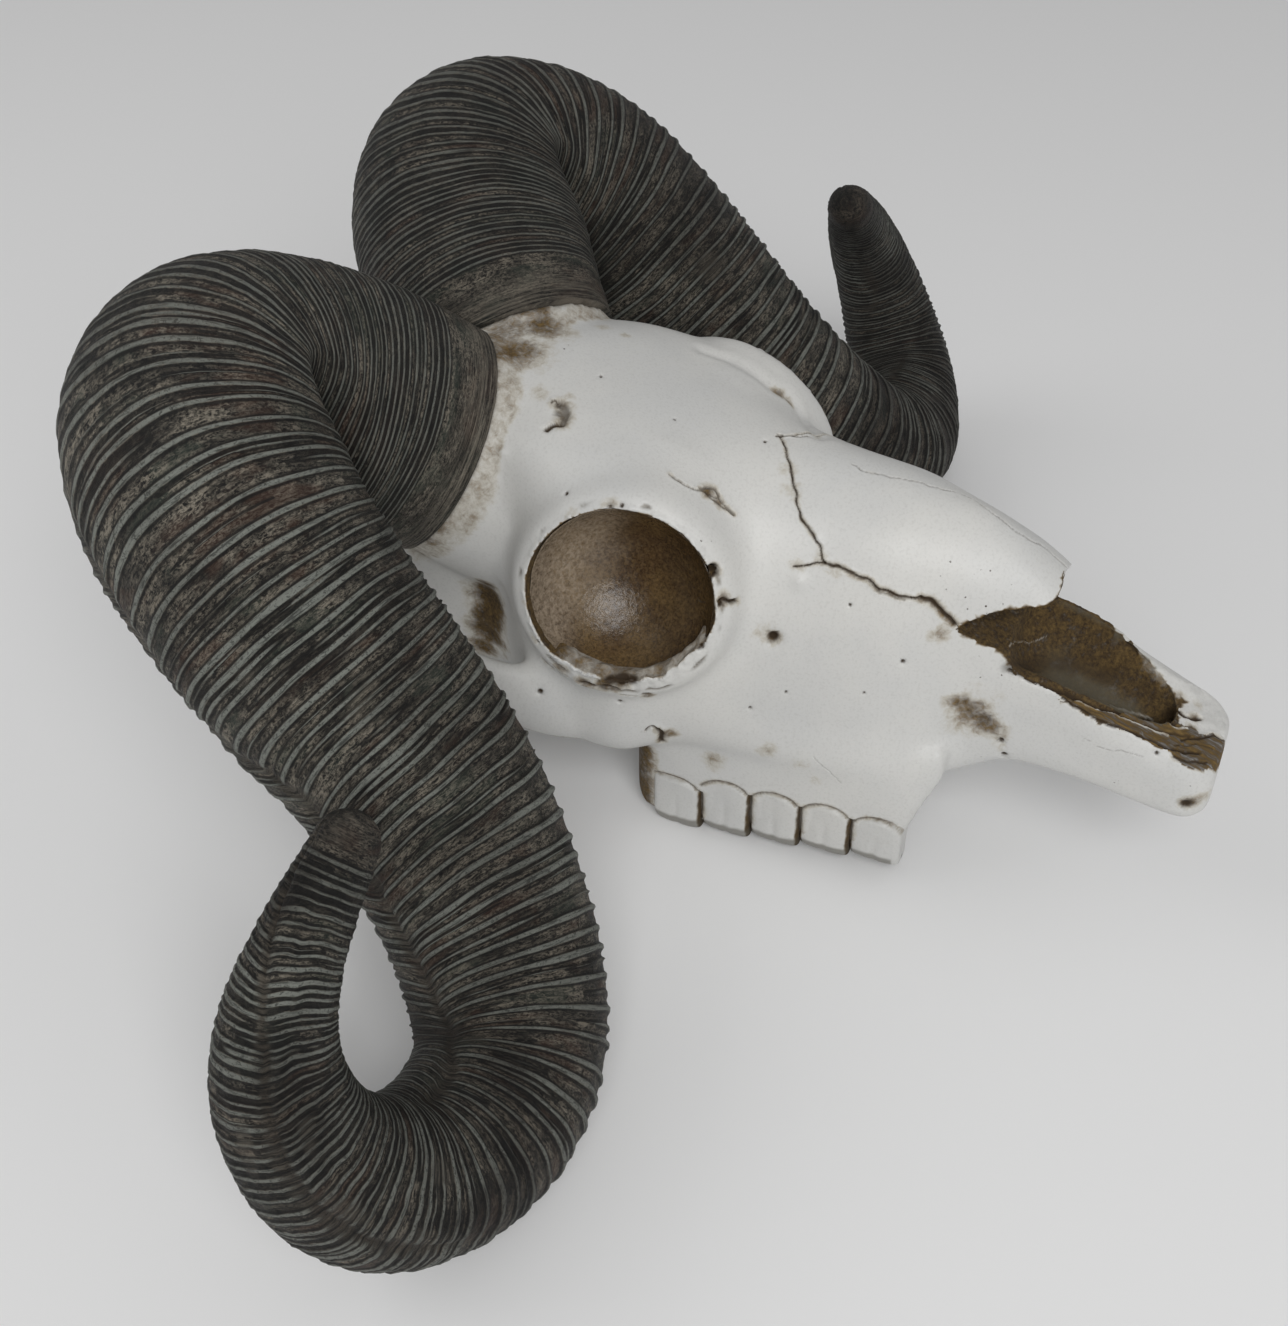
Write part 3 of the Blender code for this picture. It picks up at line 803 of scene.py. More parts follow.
class HornPath:
    """The horn's middle line: a natural cubic spline through evenly spaced stations."""

    # Each is (out, forward, up, radius).
    STATIONS = (
        (20.8, -2.4, -23.5, 30.1),  # root, on the pedicle
        (38.4, -22.1, -7.3, 32.6),  # rise
        (64.4, -34.1, 4.9, 32.3),  # crown of the first bend
        (89.6, -18.3, -5.3, 31.0),  # over the ear
        (98.4, 8.7, -31.2, 29.4),  # shaft, upper
        (101.4, 29.9, -52.7, 27.3),  # shaft, middle
        (110.5, 52.1, -76.2, 24.8),  # shaft, lower
        (137.6, 73.2, -101.7, 21.9),  # entering the loop
        (177.6, 65.9, -94.7, 18.1),  # leaving the loop
        (183.2, 49.6, -56.9, 12.9),  # rising tip
        (152.2, 50.4, -24.8, 7.2),  # end
    )
    BEND_PLANES = 160
    BEND_SPAN = 0.18
    BEND_REACH = 0.88
    BEND_KNEE = 0.6

    def __init__(self, sign: float) -> None:
        """Solves the spline for one side.

        Args:
            sign: 1 for the animal's left, -1 for its right.
        """
        self.sign = sign
        self.knots = np.asarray(self.STATIONS, float)
        last = len(self.knots) - 1
        system = np.diag(np.full(last + 1, 4.0))
        system += np.diag(np.ones(last), 1) + np.diag(np.ones(last), -1)
        system[0] = system[last] = 0.0
        system[0, 0] = system[last, last] = 1.0
        bends = np.zeros_like(self.knots)
        bends[1:-1] = 6.0 * (self.knots[2:] - 2 * self.knots[1:-1] + self.knots[:-2])
        self.curvature = np.linalg.solve(system, bends)
        self.last = last

    def at(self, fractions: Array) -> Array:
        """Reads (out, forward, up, radius) at fractions of the path.

        Args:
            fractions: the fractions, from 0 to 1.

        Returns:
            The values in mm, one row each.
        """
        where = np.clip(np.asarray(fractions, float), 0.0, 1.0) * self.last
        i = np.minimum(where.astype(int), self.last - 1)
        t = (where - i)[:, None]
        bend = ((1 - t) ** 3 - (1 - t)) * self.curvature[i] + (t**3 - t) * self.curvature[i + 1]
        return self.knots[i] * (1 - t) + self.knots[i + 1] * t + bend / 6.0

    def evenly(self, count: int, start: float = 0.0, end: float = 1.0) -> tuple[Array, Array]:
        """Fractions that are evenly spaced in length.

        Args:
            count: how many.
            start: the first fraction.
            end: the last fraction.

        Returns:
            The fractions and the length up to each, in millimetres.
        """
        table = np.linspace(start, end, 2001)
        steps = np.linalg.norm(np.diff(self.at(table)[:, :3], axis=0), axis=1)
        lengths = np.concatenate([[0.0], np.cumsum(steps)])
        wanted = np.linspace(0.0, lengths[-1], count)
        return np.interp(wanted, lengths, table), wanted

    def frames(self, fractions: Array) -> tuple[Array, Array, Array]:
        """Middle points in metres, radii in metres and directions at fractions of the path.

        Args:
            fractions: the fractions, from 0 to 1.

        Returns:
            The three, with one row for each fraction.
        """
        step = 0.004
        centre = np.clip(fractions, step, 1.0 - step)
        ahead = unit(self.middle(centre + step) - self.middle(centre - step))
        return self.middle(fractions), self.at(fractions)[:, 3] * MM, ahead

    def middle(self, fractions: Array) -> Array:
        """Middle points at fractions of the path, in metres."""
        return place_all(self.at(fractions)[:, :3], self.sign)

    def sections(self, fractions: Array, around: int) -> tuple[Array, Array]:
        """Section outlines that hold each other apart inside the bends.

        Args:
            fractions: where on the path the sections are.
            around: how many points each has.

        Returns:
            The outlines' points by section and place, and the middles.
        """
        middles, radii, aheads = self.frames(fractions)
        others = np.linspace(0.0, 1.0, self.BEND_PLANES)
        points, _, directions = self.frames(others)
        turns = round_angles(around)[:, None]
        across = np.array([0.0, 0.0, 1.0])
        outlines = np.empty((len(fractions), around, 3))
        for k, (fraction, middle, radius, ahead) in enumerate(zip(fractions, middles, radii, aheads)):
            across = unit(across - across.dot(ahead) * ahead)
            beside = np.cross(ahead, across) * self.sign
            offsets = radius * (np.cos(turns) * across + np.sin(turns) * beside)
            clear = ((middle - points) * directions).sum(axis=1)
            closing = offsets @ directions.T
            weight = 1.0 - ((others - fraction) / self.BEND_SPAN) ** 2
            near = (weight > 0) & (clear * closing < 0)
            room = -clear / np.where(near, closing, 1.0) / np.maximum(weight, 1e-6)
            room = np.where(near, room, np.inf).min(axis=1)
            limit = np.minimum(self.BEND_REACH * room, 1e6)
            knee = self.BEND_KNEE * limit
            slack = limit - knee
            eased = knee + slack * (1 - np.exp(-np.clip(1 - knee, 0.0, None) / slack))
            outlines[k] = middle + offsets * np.where(knee >= 1.0, 1.0, eased)[:, None]
        return outlines, middles


@dataclass
class RibPlan:
    """Where a horn's ribs are, how wide and how high."""

    seed: int
    # (length along the horn in mm, spacing of the main ribs in mm)
    spacing: tuple = (
        (0, 1.9), (40, 2.0), (65, 2.6), (90, 3.9), (130, 4.9), (200, 5.0), (240, 4.2), (275, 3.1),
        (315, 2.4), (380, 2.0),
    )
    # (length, share of the spacing that a crest takes)
    fill: tuple = (
        (0, 0.30), (60, 0.26), (100, 0.21), (150, 0.20), (240, 0.23), (280, 0.30), (380, 0.36),
    )
    # (length, crest height in mm)
    rise: tuple = (
        (0, 0.0), (14, 0.05), (34, 0.22), (70, 0.36), (110, 0.6), (150, 0.78), (230, 0.78),
        (280, 0.52), (330, 0.32), (365, 0.22), (380, 0.1),
    )
    # How often a wedge, a short rib that ends on both sides, follows between two main ribs.
    wedge_chance: float = 0.85
    first: float = 14.0
    widest_gap: float = 0.85
    table: dict = field(default_factory=dict)
    crests: list = field(default_factory=list)

    @staticmethod
    def at(rows: tuple, where: float) -> float:
        """Reads one of the plan's tables at a place along the horn."""
        return float(np.interp(where, *np.array(rows).T))

    def lay_out(self, length: float) -> None:
        """Draws the ribs for a horn of a length, in mm.

        Args:
            length: the horn's length without its rounded end.
        """
        draw = np.random.default_rng(self.seed)
        ribs = []
        where = self.first
        while where < length - 3.0:
            space = self.at(self.spacing, where)
            gap = space * draw.uniform(0.68, 1.3)
            half = 0.5 * space * self.at(self.fill, where) * draw.uniform(0.65, 1.25)
            height = self.at(self.rise, where) * draw.uniform(0.7, 1.15)
            ribs.append((where, half, height, 0.0, 10.0, 1.0))
            self.crests.append((where, half))
            start = draw.uniform(-math.pi, math.pi)
            middle = where + gap * draw.uniform(0.4, 0.6)
            while draw.random() < self.wedge_chance and gap > 2.4:
                span = draw.uniform(0.25, 0.8)
                ribs.append((middle, half * 0.7, height * 0.75, start, span, 0.45))
                self.crests.append((middle, half * 0.7))
                start += span + draw.uniform(0.5, 1.2)
            where += gap
        ribs.sort(key=lambda row: row[0])
        columns = np.array(ribs).T
        names = ("where", "half", "height", "middle", "span", "taper")
        self.table = dict(zip(names, columns))

    def rows(self, length: float, ends: Array) -> Array:
        """Where the mesh needs rows: at both sides of each crest, and evenly between.

        Args:
            length: the horn's length without its rounded end, in mm.
            ends: the lengths of the rounded end's own rows.

        Returns:
            The rows' lengths in mm.
        """
        middle, half = np.array(self.crests).T
        reach = half + 0.3
        marks = np.concatenate([middle - reach, middle - 0.5 * half, middle + 0.5 * half, middle + reach])
        marks = np.sort(marks[(marks > 0.3) & (marks < length - 0.3)])
        kept = [0.0]
        for mark in [*marks, length]:
            if mark - kept[-1] > 0.14:
                steps = math.ceil((mark - kept[-1]) / self.widest_gap)
                kept.extend(np.linspace(kept[-1], mark, steps + 1)[1:])
        kept[-1] = length
        return np.concatenate([kept, ends])

    def read(self, along: Array, turn: Array, wear: Array) -> tuple[Array, Array]:
        """Reads the ribs at many points.

        Args:
            along: length along the horn in mm, already bent as the ribs are.
            turn: the angle round the horn in radians.
            wear: a noise from -1 to 1 that varies the width of each crest.

        Returns:
            The distance to the nearest crest's edge in mm, below 0 on it, and the surface's rise in mm.
        """
        table = self.table
        nearest = np.searchsorted(table["where"], along)
        edge = np.full(along.shape, 9.0)
        rise = np.zeros(along.shape)
        for shift in range(-3, 3):
            k = np.clip(nearest + shift, 0, len(table["where"]) - 1)
            away = np.abs((turn - table["middle"][k] + np.pi) % (2 * np.pi) - np.pi)
            taper = np.clip((table["span"][k] - away) / table["taper"][k], 0.0, 1.0)
            half = table["half"][k] * taper * (1 + 0.28 * wear)
            gap = np.abs(along - table["where"][k])
            mine = np.where(taper > 0.02, gap - half, 9.0)
            plateau = table["height"][k] * np.minimum(taper * 2.0, 1.0)
            top = plateau * ramp(0.42, -0.12, mine)
            groove = -0.22 * plateau * np.exp(-(((mine - 0.55) / 0.35) ** 2))
            rise = np.where(np.abs(top) > 1e-4, np.maximum(rise, top), rise)
            rise = rise + np.where(top < 1e-4, groove, 0.0) * 0.6
            edge = np.minimum(edge, mine)
        return edge, rise


@dataclass
class Horn:
    """One horn: a ribbed, curled sheet wrapped round its path, with keels, a smooth base and a blunt tip."""

    side: Side
    seed: int
    # Painted shade laid over the whole horn; the far horn gets it.
    gloom: float = 0.0
    rings: int = 640
    around: int = 120
    cap_rings: int = 9
    fill_passes: int = 500
    fill_range: tuple = ((0.02, 0.06), (0.36, 0.46))
    base_band: float = 5.0
    midline_gap: float = 0.9
    # Long creases where the ribs break, as (fraction of the path, angle in degrees).
    shaft_keel: tuple = (
        (0.27, 262), (0.33, 262), (0.36, 255), (0.39, 254), (0.415, 260), (0.4425, 274), (0.4725, 282),
        (0.52, 284), (0.585, 283), (0.6475, 288), (0.6825, 294), (0.7375, 310), (0.78, 322),
    )
    tip_keel: tuple = (
        (0.79, 66), (0.8225, 72), (0.8475, 76), (0.87, 80), (0.8925, 80), (0.915, 84), (0.935, 96),
        (0.955, 114), (0.985, 140),
    )
    nodes: tuple = ("base", "crown", "shaft", "loop", "turn", "tip")

    def build(self) -> Piece:
        """Shapes the horn and stores what its finish reads.

        Returns:
            The finished piece.
        """
        sign = self.side.value
        path = HornPath(sign)
        fractions, along = path.evenly(self.rings)
        outlines, middles = path.sections(fractions, self.around)
        outlines = self.fill_bend(outlines, fractions)
        outlines, middles, fractions, along = self.add_tip(path, outlines, middles, fractions, along)
        radius = np.linalg.norm(outlines - middles[:, None], axis=2)
        turn = self.turns(len(fractions))
        lengthwise = np.broadcast_to(along[:, None], turn.shape)
        bent, keel = self.bend_ribs(fractions, lengthwise, turn, self.unroll(lengthwise, turn))
        plan = RibPlan(self.seed)
        plan.lay_out(float(along[self.rings - 1]))
        rows = plan.rows(float(along[self.rings - 1]), along[self.rings :])
        spread = np.broadcast_to(middles[:, None], outlines.shape)
        fields = np.concatenate([outlines, spread, np.stack([lengthwise, keel, radius], axis=-1)], axis=-1)
        fields = self.follow(rows, bent, fields)
        outlines, middles = fields[..., :3], fields[..., 3:6]
        lengthwise, keel, radius = np.moveaxis(fields[..., 6:], -1, 0)
        turn = self.turns(len(rows))
        bent = np.broadcast_to(rows[:, None], turn.shape)
        squeeze = self.squeeze(outlines, middles)
        flat = self.unroll(lengthwise, turn)
        wear = grain(flat, 9.0, self.seed + 2) * 1.5
        edge, rise = plan.read(bent, turn, wear)
        calm = self.calm(lengthwise, flat, keel)
        rise = rise * (1 - 0.9 * calm)
        lumps = 0.7 * grain(flat, 30.0, self.seed + 3) + 0.3 * grain(flat, 7.0, self.seed + 4)
        rough = 0.22 * grain(flat * np.array([1.6, 0.7, 0.7]), 1.5, self.seed + 5)
        rise = rise - 0.35 + lumps * 0.6 + rough
        rise = rise - 0.75 * keel * ramp(15.0, 40.0, lengthwise)
        rise = rise * np.clip(squeeze, 0.12, 1.0)
        out = unit(outlines - middles)
        shaped = outlines + out * rise[..., None] * MM
        shaped[..., 0] = sign * np.maximum(sign * shaped[..., 0], self.midline_gap * MM)
        shaped[..., 2] = np.maximum(shaped[..., 2], 0.0)
        piece = Bench.wrap(f"horn_{self.side.name.lower()}", shaped)
        reach = radius / MM
        self.store(piece, shaped, {
            Layer.UNROLLED: np.stack([bent, reach * np.cos(turn), reach * np.sin(turn)], axis=-1),
            Layer.EDGE: edge,
            Layer.CALM: calm,
            Layer.SHADE: self.shade(lengthwise, squeeze, keel, flat),
            Layer.GREY: ramp(105.0, 62.0, bent),
        })
        return Bench.hand_over(piece, Slot.HORN, [f"{piece.name}_{node}" for node in self.nodes])

    def turns(self, count: int) -> Array:
        """The angle of each point round the horn, for a number of rows."""
        return np.broadcast_to(round_angles(self.around), (count, self.around))

    @staticmethod
    def unroll(along: Array, turn: Array) -> Array:
        """Places on an even cylinder in mm, which the noises read."""
        return np.stack([along, 28.0 * np.cos(turn), 28.0 * np.sin(turn)], axis=-1)

    @staticmethod
    def follow(rows: Array, bent: Array, fields: Array) -> Array:
        """Moves the mesh's rows so that they run along the ribs.

        Args:
            rows: the ribs' own length of each new row, in mm.
            bent: the ribs' own length at each point.
            fields: the points' values.

        Returns:
            The values where each column reaches the new rows.
        """
        rising = np.maximum.accumulate(bent, axis=0) + np.arange(len(bent))[:, None] * 1e-7
        moved = np.empty((len(rows), *fields.shape[1:]))
        for column in range(fields.shape[1]):
            for part in range(fields.shape[2]):
                moved[:, column, part] = np.interp(rows, rising[:, column], fields[:, column, part])
        return moved

    def fill_bend(self, outlines: Array, fractions: Array) -> Array:
        """Fills the fold inside the first bend to a smooth saddle, as a cast horn has it.

        Args:
            outlines: the sections' points.
            fractions: where the sections are on the path.

        Returns:
            The points, moved out of the fold and never into the horn.
        """
        smooth = outlines.copy()
        for _ in range(self.fill_passes):
            lengthwise = 0.5 * (smooth[:-2] + smooth[2:])
            around = 0.5 * (np.roll(smooth, 1, axis=1) + np.roll(smooth, -1, axis=1))
            smooth[1:-1] = 0.5 * smooth[1:-1] + 0.3 * lengthwise + 0.2 * around[1:-1]
        round_it = np.roll(outlines, -1, axis=1) - np.roll(outlines, 1, axis=1)
        normal = unit(np.cross(np.gradient(outlines, axis=0), round_it))
        middle = outlines.mean(axis=1, keepdims=True)
        away = ((outlines - middle) * normal).sum(axis=2, keepdims=True)
        normal = normal * np.sign(away)
        gain = ((smooth - outlines) * normal).sum(axis=2)
        low, high = self.fill_range
        weight = ramp(low[0], low[1], fractions) * ramp(high[1], high[0], fractions)
        share = ramp(0.0, 0.6, gain / MM) * weight[:, None]
        return outlines + (smooth - outlines) * share[..., None]

    def add_tip(
        self, path: HornPath, outlines: Array, middles: Array, fractions: Array,
        along: Array,
    ) -> tuple[Array, Array, Array, Array]:
        """Adds the rings that round off the blunt end.

        Args:
            path: the horn's path.
            outlines: the sections' points.
            middles: the sections' middles.
            fractions: where the sections are on the path.
            along: the length up to each, in mm.

        Returns:
            All four again, with the end's rings added.
        """
        _, radii, aheads = path.frames(np.array([1.0]))
        lifts = np.linspace(0.0, math.radians(84.0), self.cap_rings + 1)[1:]
        end, around_end = middles[-1], outlines[-1] - middles[-1]
        for lift in lifts:
            middle = end + aheads[0] * radii[0] * math.sin(lift)
            ring = middle + around_end * math.cos(lift)
            outlines = np.concatenate([outlines, ring[None]])
            middles = np.concatenate([middles, middle[None]])
        along = np.concatenate([along, along[-1] + radii[0] / MM * np.sin(lifts)])
        return outlines, middles, np.concatenate([fractions, np.ones(len(lifts))]), along

    @staticmethod
    def squeeze(outlines: Array, middles: Array) -> Array:
        """How close together the sections are at each point, against the middle line.

        Args:
            outlines: the sections' points.
            middles: the sections' middles.

        Returns:
            The share, 1 where they are as far apart as on the middle line.
        """
        steps = np.linalg.norm(np.gradient(outlines, axis=0), axis=2)
        middle_steps = np.linalg.norm(np.gradient(middles, axis=0), axis=2)
        return steps / np.maximum(middle_steps, 1e-9)

    @staticmethod
    def angle_from(
        rows: tuple, fractions: Array, turn: Array
    ) -> tuple[Array, Array]:
        """How far each point is round from a keel.

        Args:
            rows: the keel's (fraction, angle in degrees) stations.
            fractions: the sections' fractions.
            turn: the points' angles in radians.

        Returns:
            The signed angle from the keel in radians, and how present the keel is at each section.
        """
        where = [row[0] for row in rows]
        angles = np.interp(fractions, where, [math.radians(row[1]) for row in rows])
        present = ramp(where[0] - 0.03, where[0] + 0.02, fractions)
        present = present * ramp(where[-1] + 0.03, where[-1] - 0.01, fractions)
        away = (turn - angles[:, None] + np.pi) % (2 * np.pi) - np.pi
        return away, present[:, None]

    def bend_ribs(
        self, fractions: Array, along: Array, turn: Array, flat: Array
    ) -> tuple[Array, Array]:
        """Bends the ribs' own lengths, so that they wander and kink at the keels.

        Args:
            fractions: the sections' fractions.
            along: the length along the horn at each point, in mm.
            turn: the angle at each point.
            flat: the unrolled places.

        Returns:
            The bent lengths in mm, and how deep in a keel each point is, from 0 to 1.
        """
        bent = along + 1.5 * grain(flat, 45.0, self.seed + 7)
        bent = bent + 0.7 * grain(flat, 16.0, self.seed + 8)
        wobble = 0.10 * grain(flat, 7.0, self.seed + 9)
        rubble = grain(flat, 6.5, self.seed + 10)
        keel = np.zeros(along.shape)
        # Each keel's stations, its kink in mm, the kink's width in radians and the jumble beyond it.
        keels = ((self.shaft_keel, -8.0, 0.55, 0.9), (self.tip_keel, 1.6, 0.42, 0.4))
        for rows, kink, width, jumble in keels:
            away, present = self.angle_from(rows, fractions, turn)
            bent = bent + kink * present * np.exp(-np.abs(away) / width)
            keel = np.maximum(keel, present * np.exp(-(((away + wobble) / 0.085) ** 2)))
            beyond = present * ramp(0.0, -0.12, away) * ramp(-1.0, -0.7, away)
            bent = bent + jumble * beyond * rubble
        length = along[self.rings - 1, 0]
        ends = ramp(0.0, 16.0, along) * ramp(length - 0.5, length - 20.0, along)
        return along + (bent - along) * ends, keel

    def calm(self, along: Array, flat: Array, keel: Array) -> Array:
        """Where the ribs fade out: at the base, in the keels and in worn patches.

        Args:
            along: the length along the horn at each point, in mm.
            flat: the unrolled places.
            keel: how deep in a keel each point is, from 0 to 1.

        Returns:
            How far the ribs have faded, from 0 to 1.
        """
        edge = self.base_band + 3.0 * grain(flat, 22.0, self.seed + 11)
        base = ramp(6.0, -4.0, along - edge)
        worn = ramp(0.34, 0.62, grain(flat, 13.0, self.seed + 12)) * 0.6
        worn = worn * ramp(90.0, 150.0, along)
        return np.clip(np.maximum(np.maximum(base, worn), 0.85 * keel), 0.0, 1.0)

    def shade(
        self, along: Array, squeeze: Array, keel: Array, flat: Array
    ) -> Array:
        """How dark each point is painted: painted shade inside the bends, in the keels, on the loop and over
        the far horn, random darker patches, and darker towards the root and the tip.

        Args:
            along: the length along the horn at each point, in mm.
            squeeze: how close together the sections are there.
            keel: how deep in a keel each point is, from 0 to 1.
            flat: the unrolled places.

        Returns:
            The darkening, from 0 to 1.
        """
        # Painted shade where the sections crowd together inside the bends.
        inner = ramp(0.6, 0.15, squeeze)
        patches = ramp(-0.05, 0.5, grain(flat, 26.0, self.seed + 13)) * 0.5
        patches = patches * ramp(30.0, 80.0, along)
        end = ramp(345.0, 372.0, along) * 0.6
        root = 0.12 * ramp(100.0, 60.0, along)
        # Painted shade on the loop, easing off towards the tip.
        loop = 0.45 * (ramp(185.0, 235.0, along) - 0.8 * ramp(315.0, 350.0, along))
        return np.clip(0.75 * inner + patches + 0.5 * keel + end + root + loop + self.gloom, 0.0, 1.0)

    @staticmethod
    def store(piece: Piece, shaped: Array, layers: dict[Layer, Array]) -> None:
        """Stores what the finish reads on the piece's points, which the wrapping put in another order.

        Args:
            piece: the horn.
            shaped: the points' places by ring.
            layers: the values by ring.
        """
        tree = tree_of(shaped.reshape(-1, 3))
        order = [tree.find(point)[1] for point in Bench.points(piece)]
        rows = {layer: values.reshape(-1, *values.shape[2:])[order] for layer, values in layers.items()}
        Bench.keep_layers(piece, rows)


@dataclass
class Studio:
    """The pale floor, the soft lights and the camera."""

    camera_place: tuple = (-0.3341, -0.12645, 0.3374)
    camera_ahead: tuple = (0.69358459, 0.30878667, -0.65083885)
    lens: float = 45.6806
    sensor: float = 36.0
    floor_size: float = 12.0

    def build(self) -> None:
        """Sets up everything round the object."""
        self.add_floor()
        self.add_camera()
        self.add_lamp("key", (-1.15, -0.7, 1.15), 1.0, 17.2)
        self.add_lamp("fill", (0.9, -0.9, 0.9), 1.2, 0.7)
        self.add_lamp("back", (-0.4, 1.1, 1.0), 1.0, 3.4)
        world = bpy.data.worlds.new("studio")
        world.use_nodes = True
        world.node_tree.nodes["Background"].inputs[0].default_value = (1.0, 1.0, 1.0, 1.0)
        world.node_tree.nodes["Background"].inputs[1].default_value = 0.33
        bpy.context.scene.world = world
        bpy.context.scene.view_settings.view_transform = "Standard"

    def add_floor(self) -> None:
        """A plain pale floor, a hair under the object."""
        Bench.clear()
        bpy.ops.mesh.primitive_plane_add(size=self.floor_size, location=(0.0, 0.0, -0.0002))
        floor = bpy.context.object
        floor.name = "studio_floor"
        nodes = Nodes("studio_floor")
        nodes.shader.inputs["Base Color"].default_value = (0.86, 0.86, 0.86, 1.0)
        nodes.shader.inputs["Roughness"].default_value = 0.9
        floor.data.materials.append(nodes.material)

    def add_camera(self) -> None:
        """The camera of the photograph."""
        lens = bpy.data.cameras.new("camera")
        lens.lens = self.lens
        lens.sensor_width = self.sensor
        lens.clip_start = 0.01
        lens.clip_end = 30.0
        camera = bpy.data.objects.new("camera", lens)
        bpy.context.collection.objects.link(camera)
        camera.location = self.camera_place
        camera.rotation_euler = Vector(self.camera_ahead).to_track_quat("-Z", "Y").to_euler()
        bpy.context.scene.camera = camera

    def add_lamp(self, name: str, where: tuple, size: float, power: float) -> None:
        """Adds one soft lamp that looks at the object.

        Args:
            name: the lamp's name.
            where: its place in metres.
            size: its width in metres.
            power: its power in watts.
        """
        light = bpy.data.lights.new(name, "AREA")
        light.size = size
        light.energy = power
        lamp = bpy.data.objects.new(name, light)
        bpy.context.collection.objects.link(lamp)
        lamp.location = where
        lamp.rotation_euler = (Vector((0.0, 0.0, 0.05)) - Vector(where)).to_track_quat("-Z", "Y").to_euler()


@dataclass(frozen=True)
class Crack:
    """A crack, a seam or a painted shadow line, as a line of photograph pixels on the surface."""

    line: tuple
    # Both in mm. A negative depth makes a ridge.
    width: float
    depth: float
    # How strongly it is stained beside its line.
    wash: float
    mirrored: bool = False
    # How dark its line is. A negative ink leaves the line bare.
    ink: float = 1.0


@dataclass(frozen=True)
class Pit:
    """A hole or dent, as a photograph pixel, with a radius and a depth in mm, negative for a bump."""

    across: float
    down: float
    radius: float
    depth: float
    ink: float = 1.0
    mirrored: bool = False


@dataclass
class Marks:
    """What the carving gathers for each of the bone's points."""

    # How far the point is moved out, in mm.
    shift: Array
    # Brown washes, and painted shade under the cheekbone and at the rear of the bone that holds the teeth.
    stain: Array
    crack: Array
    # Where the paint is left bare.
    bare: Array
    specks: Array


class Photograph:
    """Finds places on a surface that a pixel of the photograph shows."""

    WIDTH = 1288.0
    HEIGHT = 1326.0

    def __init__(self, studio: "Studio") -> None:
        """Takes the camera's numbers from the studio.

        Args:
            studio: what holds them.
        """
        self.eye = Vector(studio.camera_place)
        self.ahead = Vector(studio.camera_ahead).normalized()
        self.right = self.ahead.cross(Vector((0.0, 0.0, 1.0))).normalized()
        self.above = self.right.cross(self.ahead)
        self.focal = studio.lens / studio.sensor * self.HEIGHT

    def ray(self, pixel: tuple) -> Vector:
        """The direction from the eye through a pixel.

        Args:
            pixel: the pixel as (across, down).

        Returns:
            The direction, of length 1.
        """
        across = (pixel[0] - self.WIDTH / 2) / self.focal
        down = (pixel[1] - self.HEIGHT / 2) / self.focal
        return (self.ahead + across * self.right - down * self.above).normalized()

    def pixel(self, points: Array) -> Array:
        """The pixels where points of the model show.

        Args:
            points: the points in metres, one row each.

        Returns:
            The pixels as (across, down), one row each.
        """
        away = np.asarray(points, float) - np.array(self.eye)
        depth = away @ np.array(self.ahead)
        across = away @ np.array(self.right) / depth * self.focal
        down = -(away @ np.array(self.above)) / depth * self.focal
        return np.stack([across + self.WIDTH / 2, down + self.HEIGHT / 2], axis=-1)

    def hit(self, surface: BVHTree, pixel: tuple) -> Vector | None:
        """The place on a surface that a pixel shows."""
        return surface.ray_cast(self.eye, self.ray(pixel))[0]


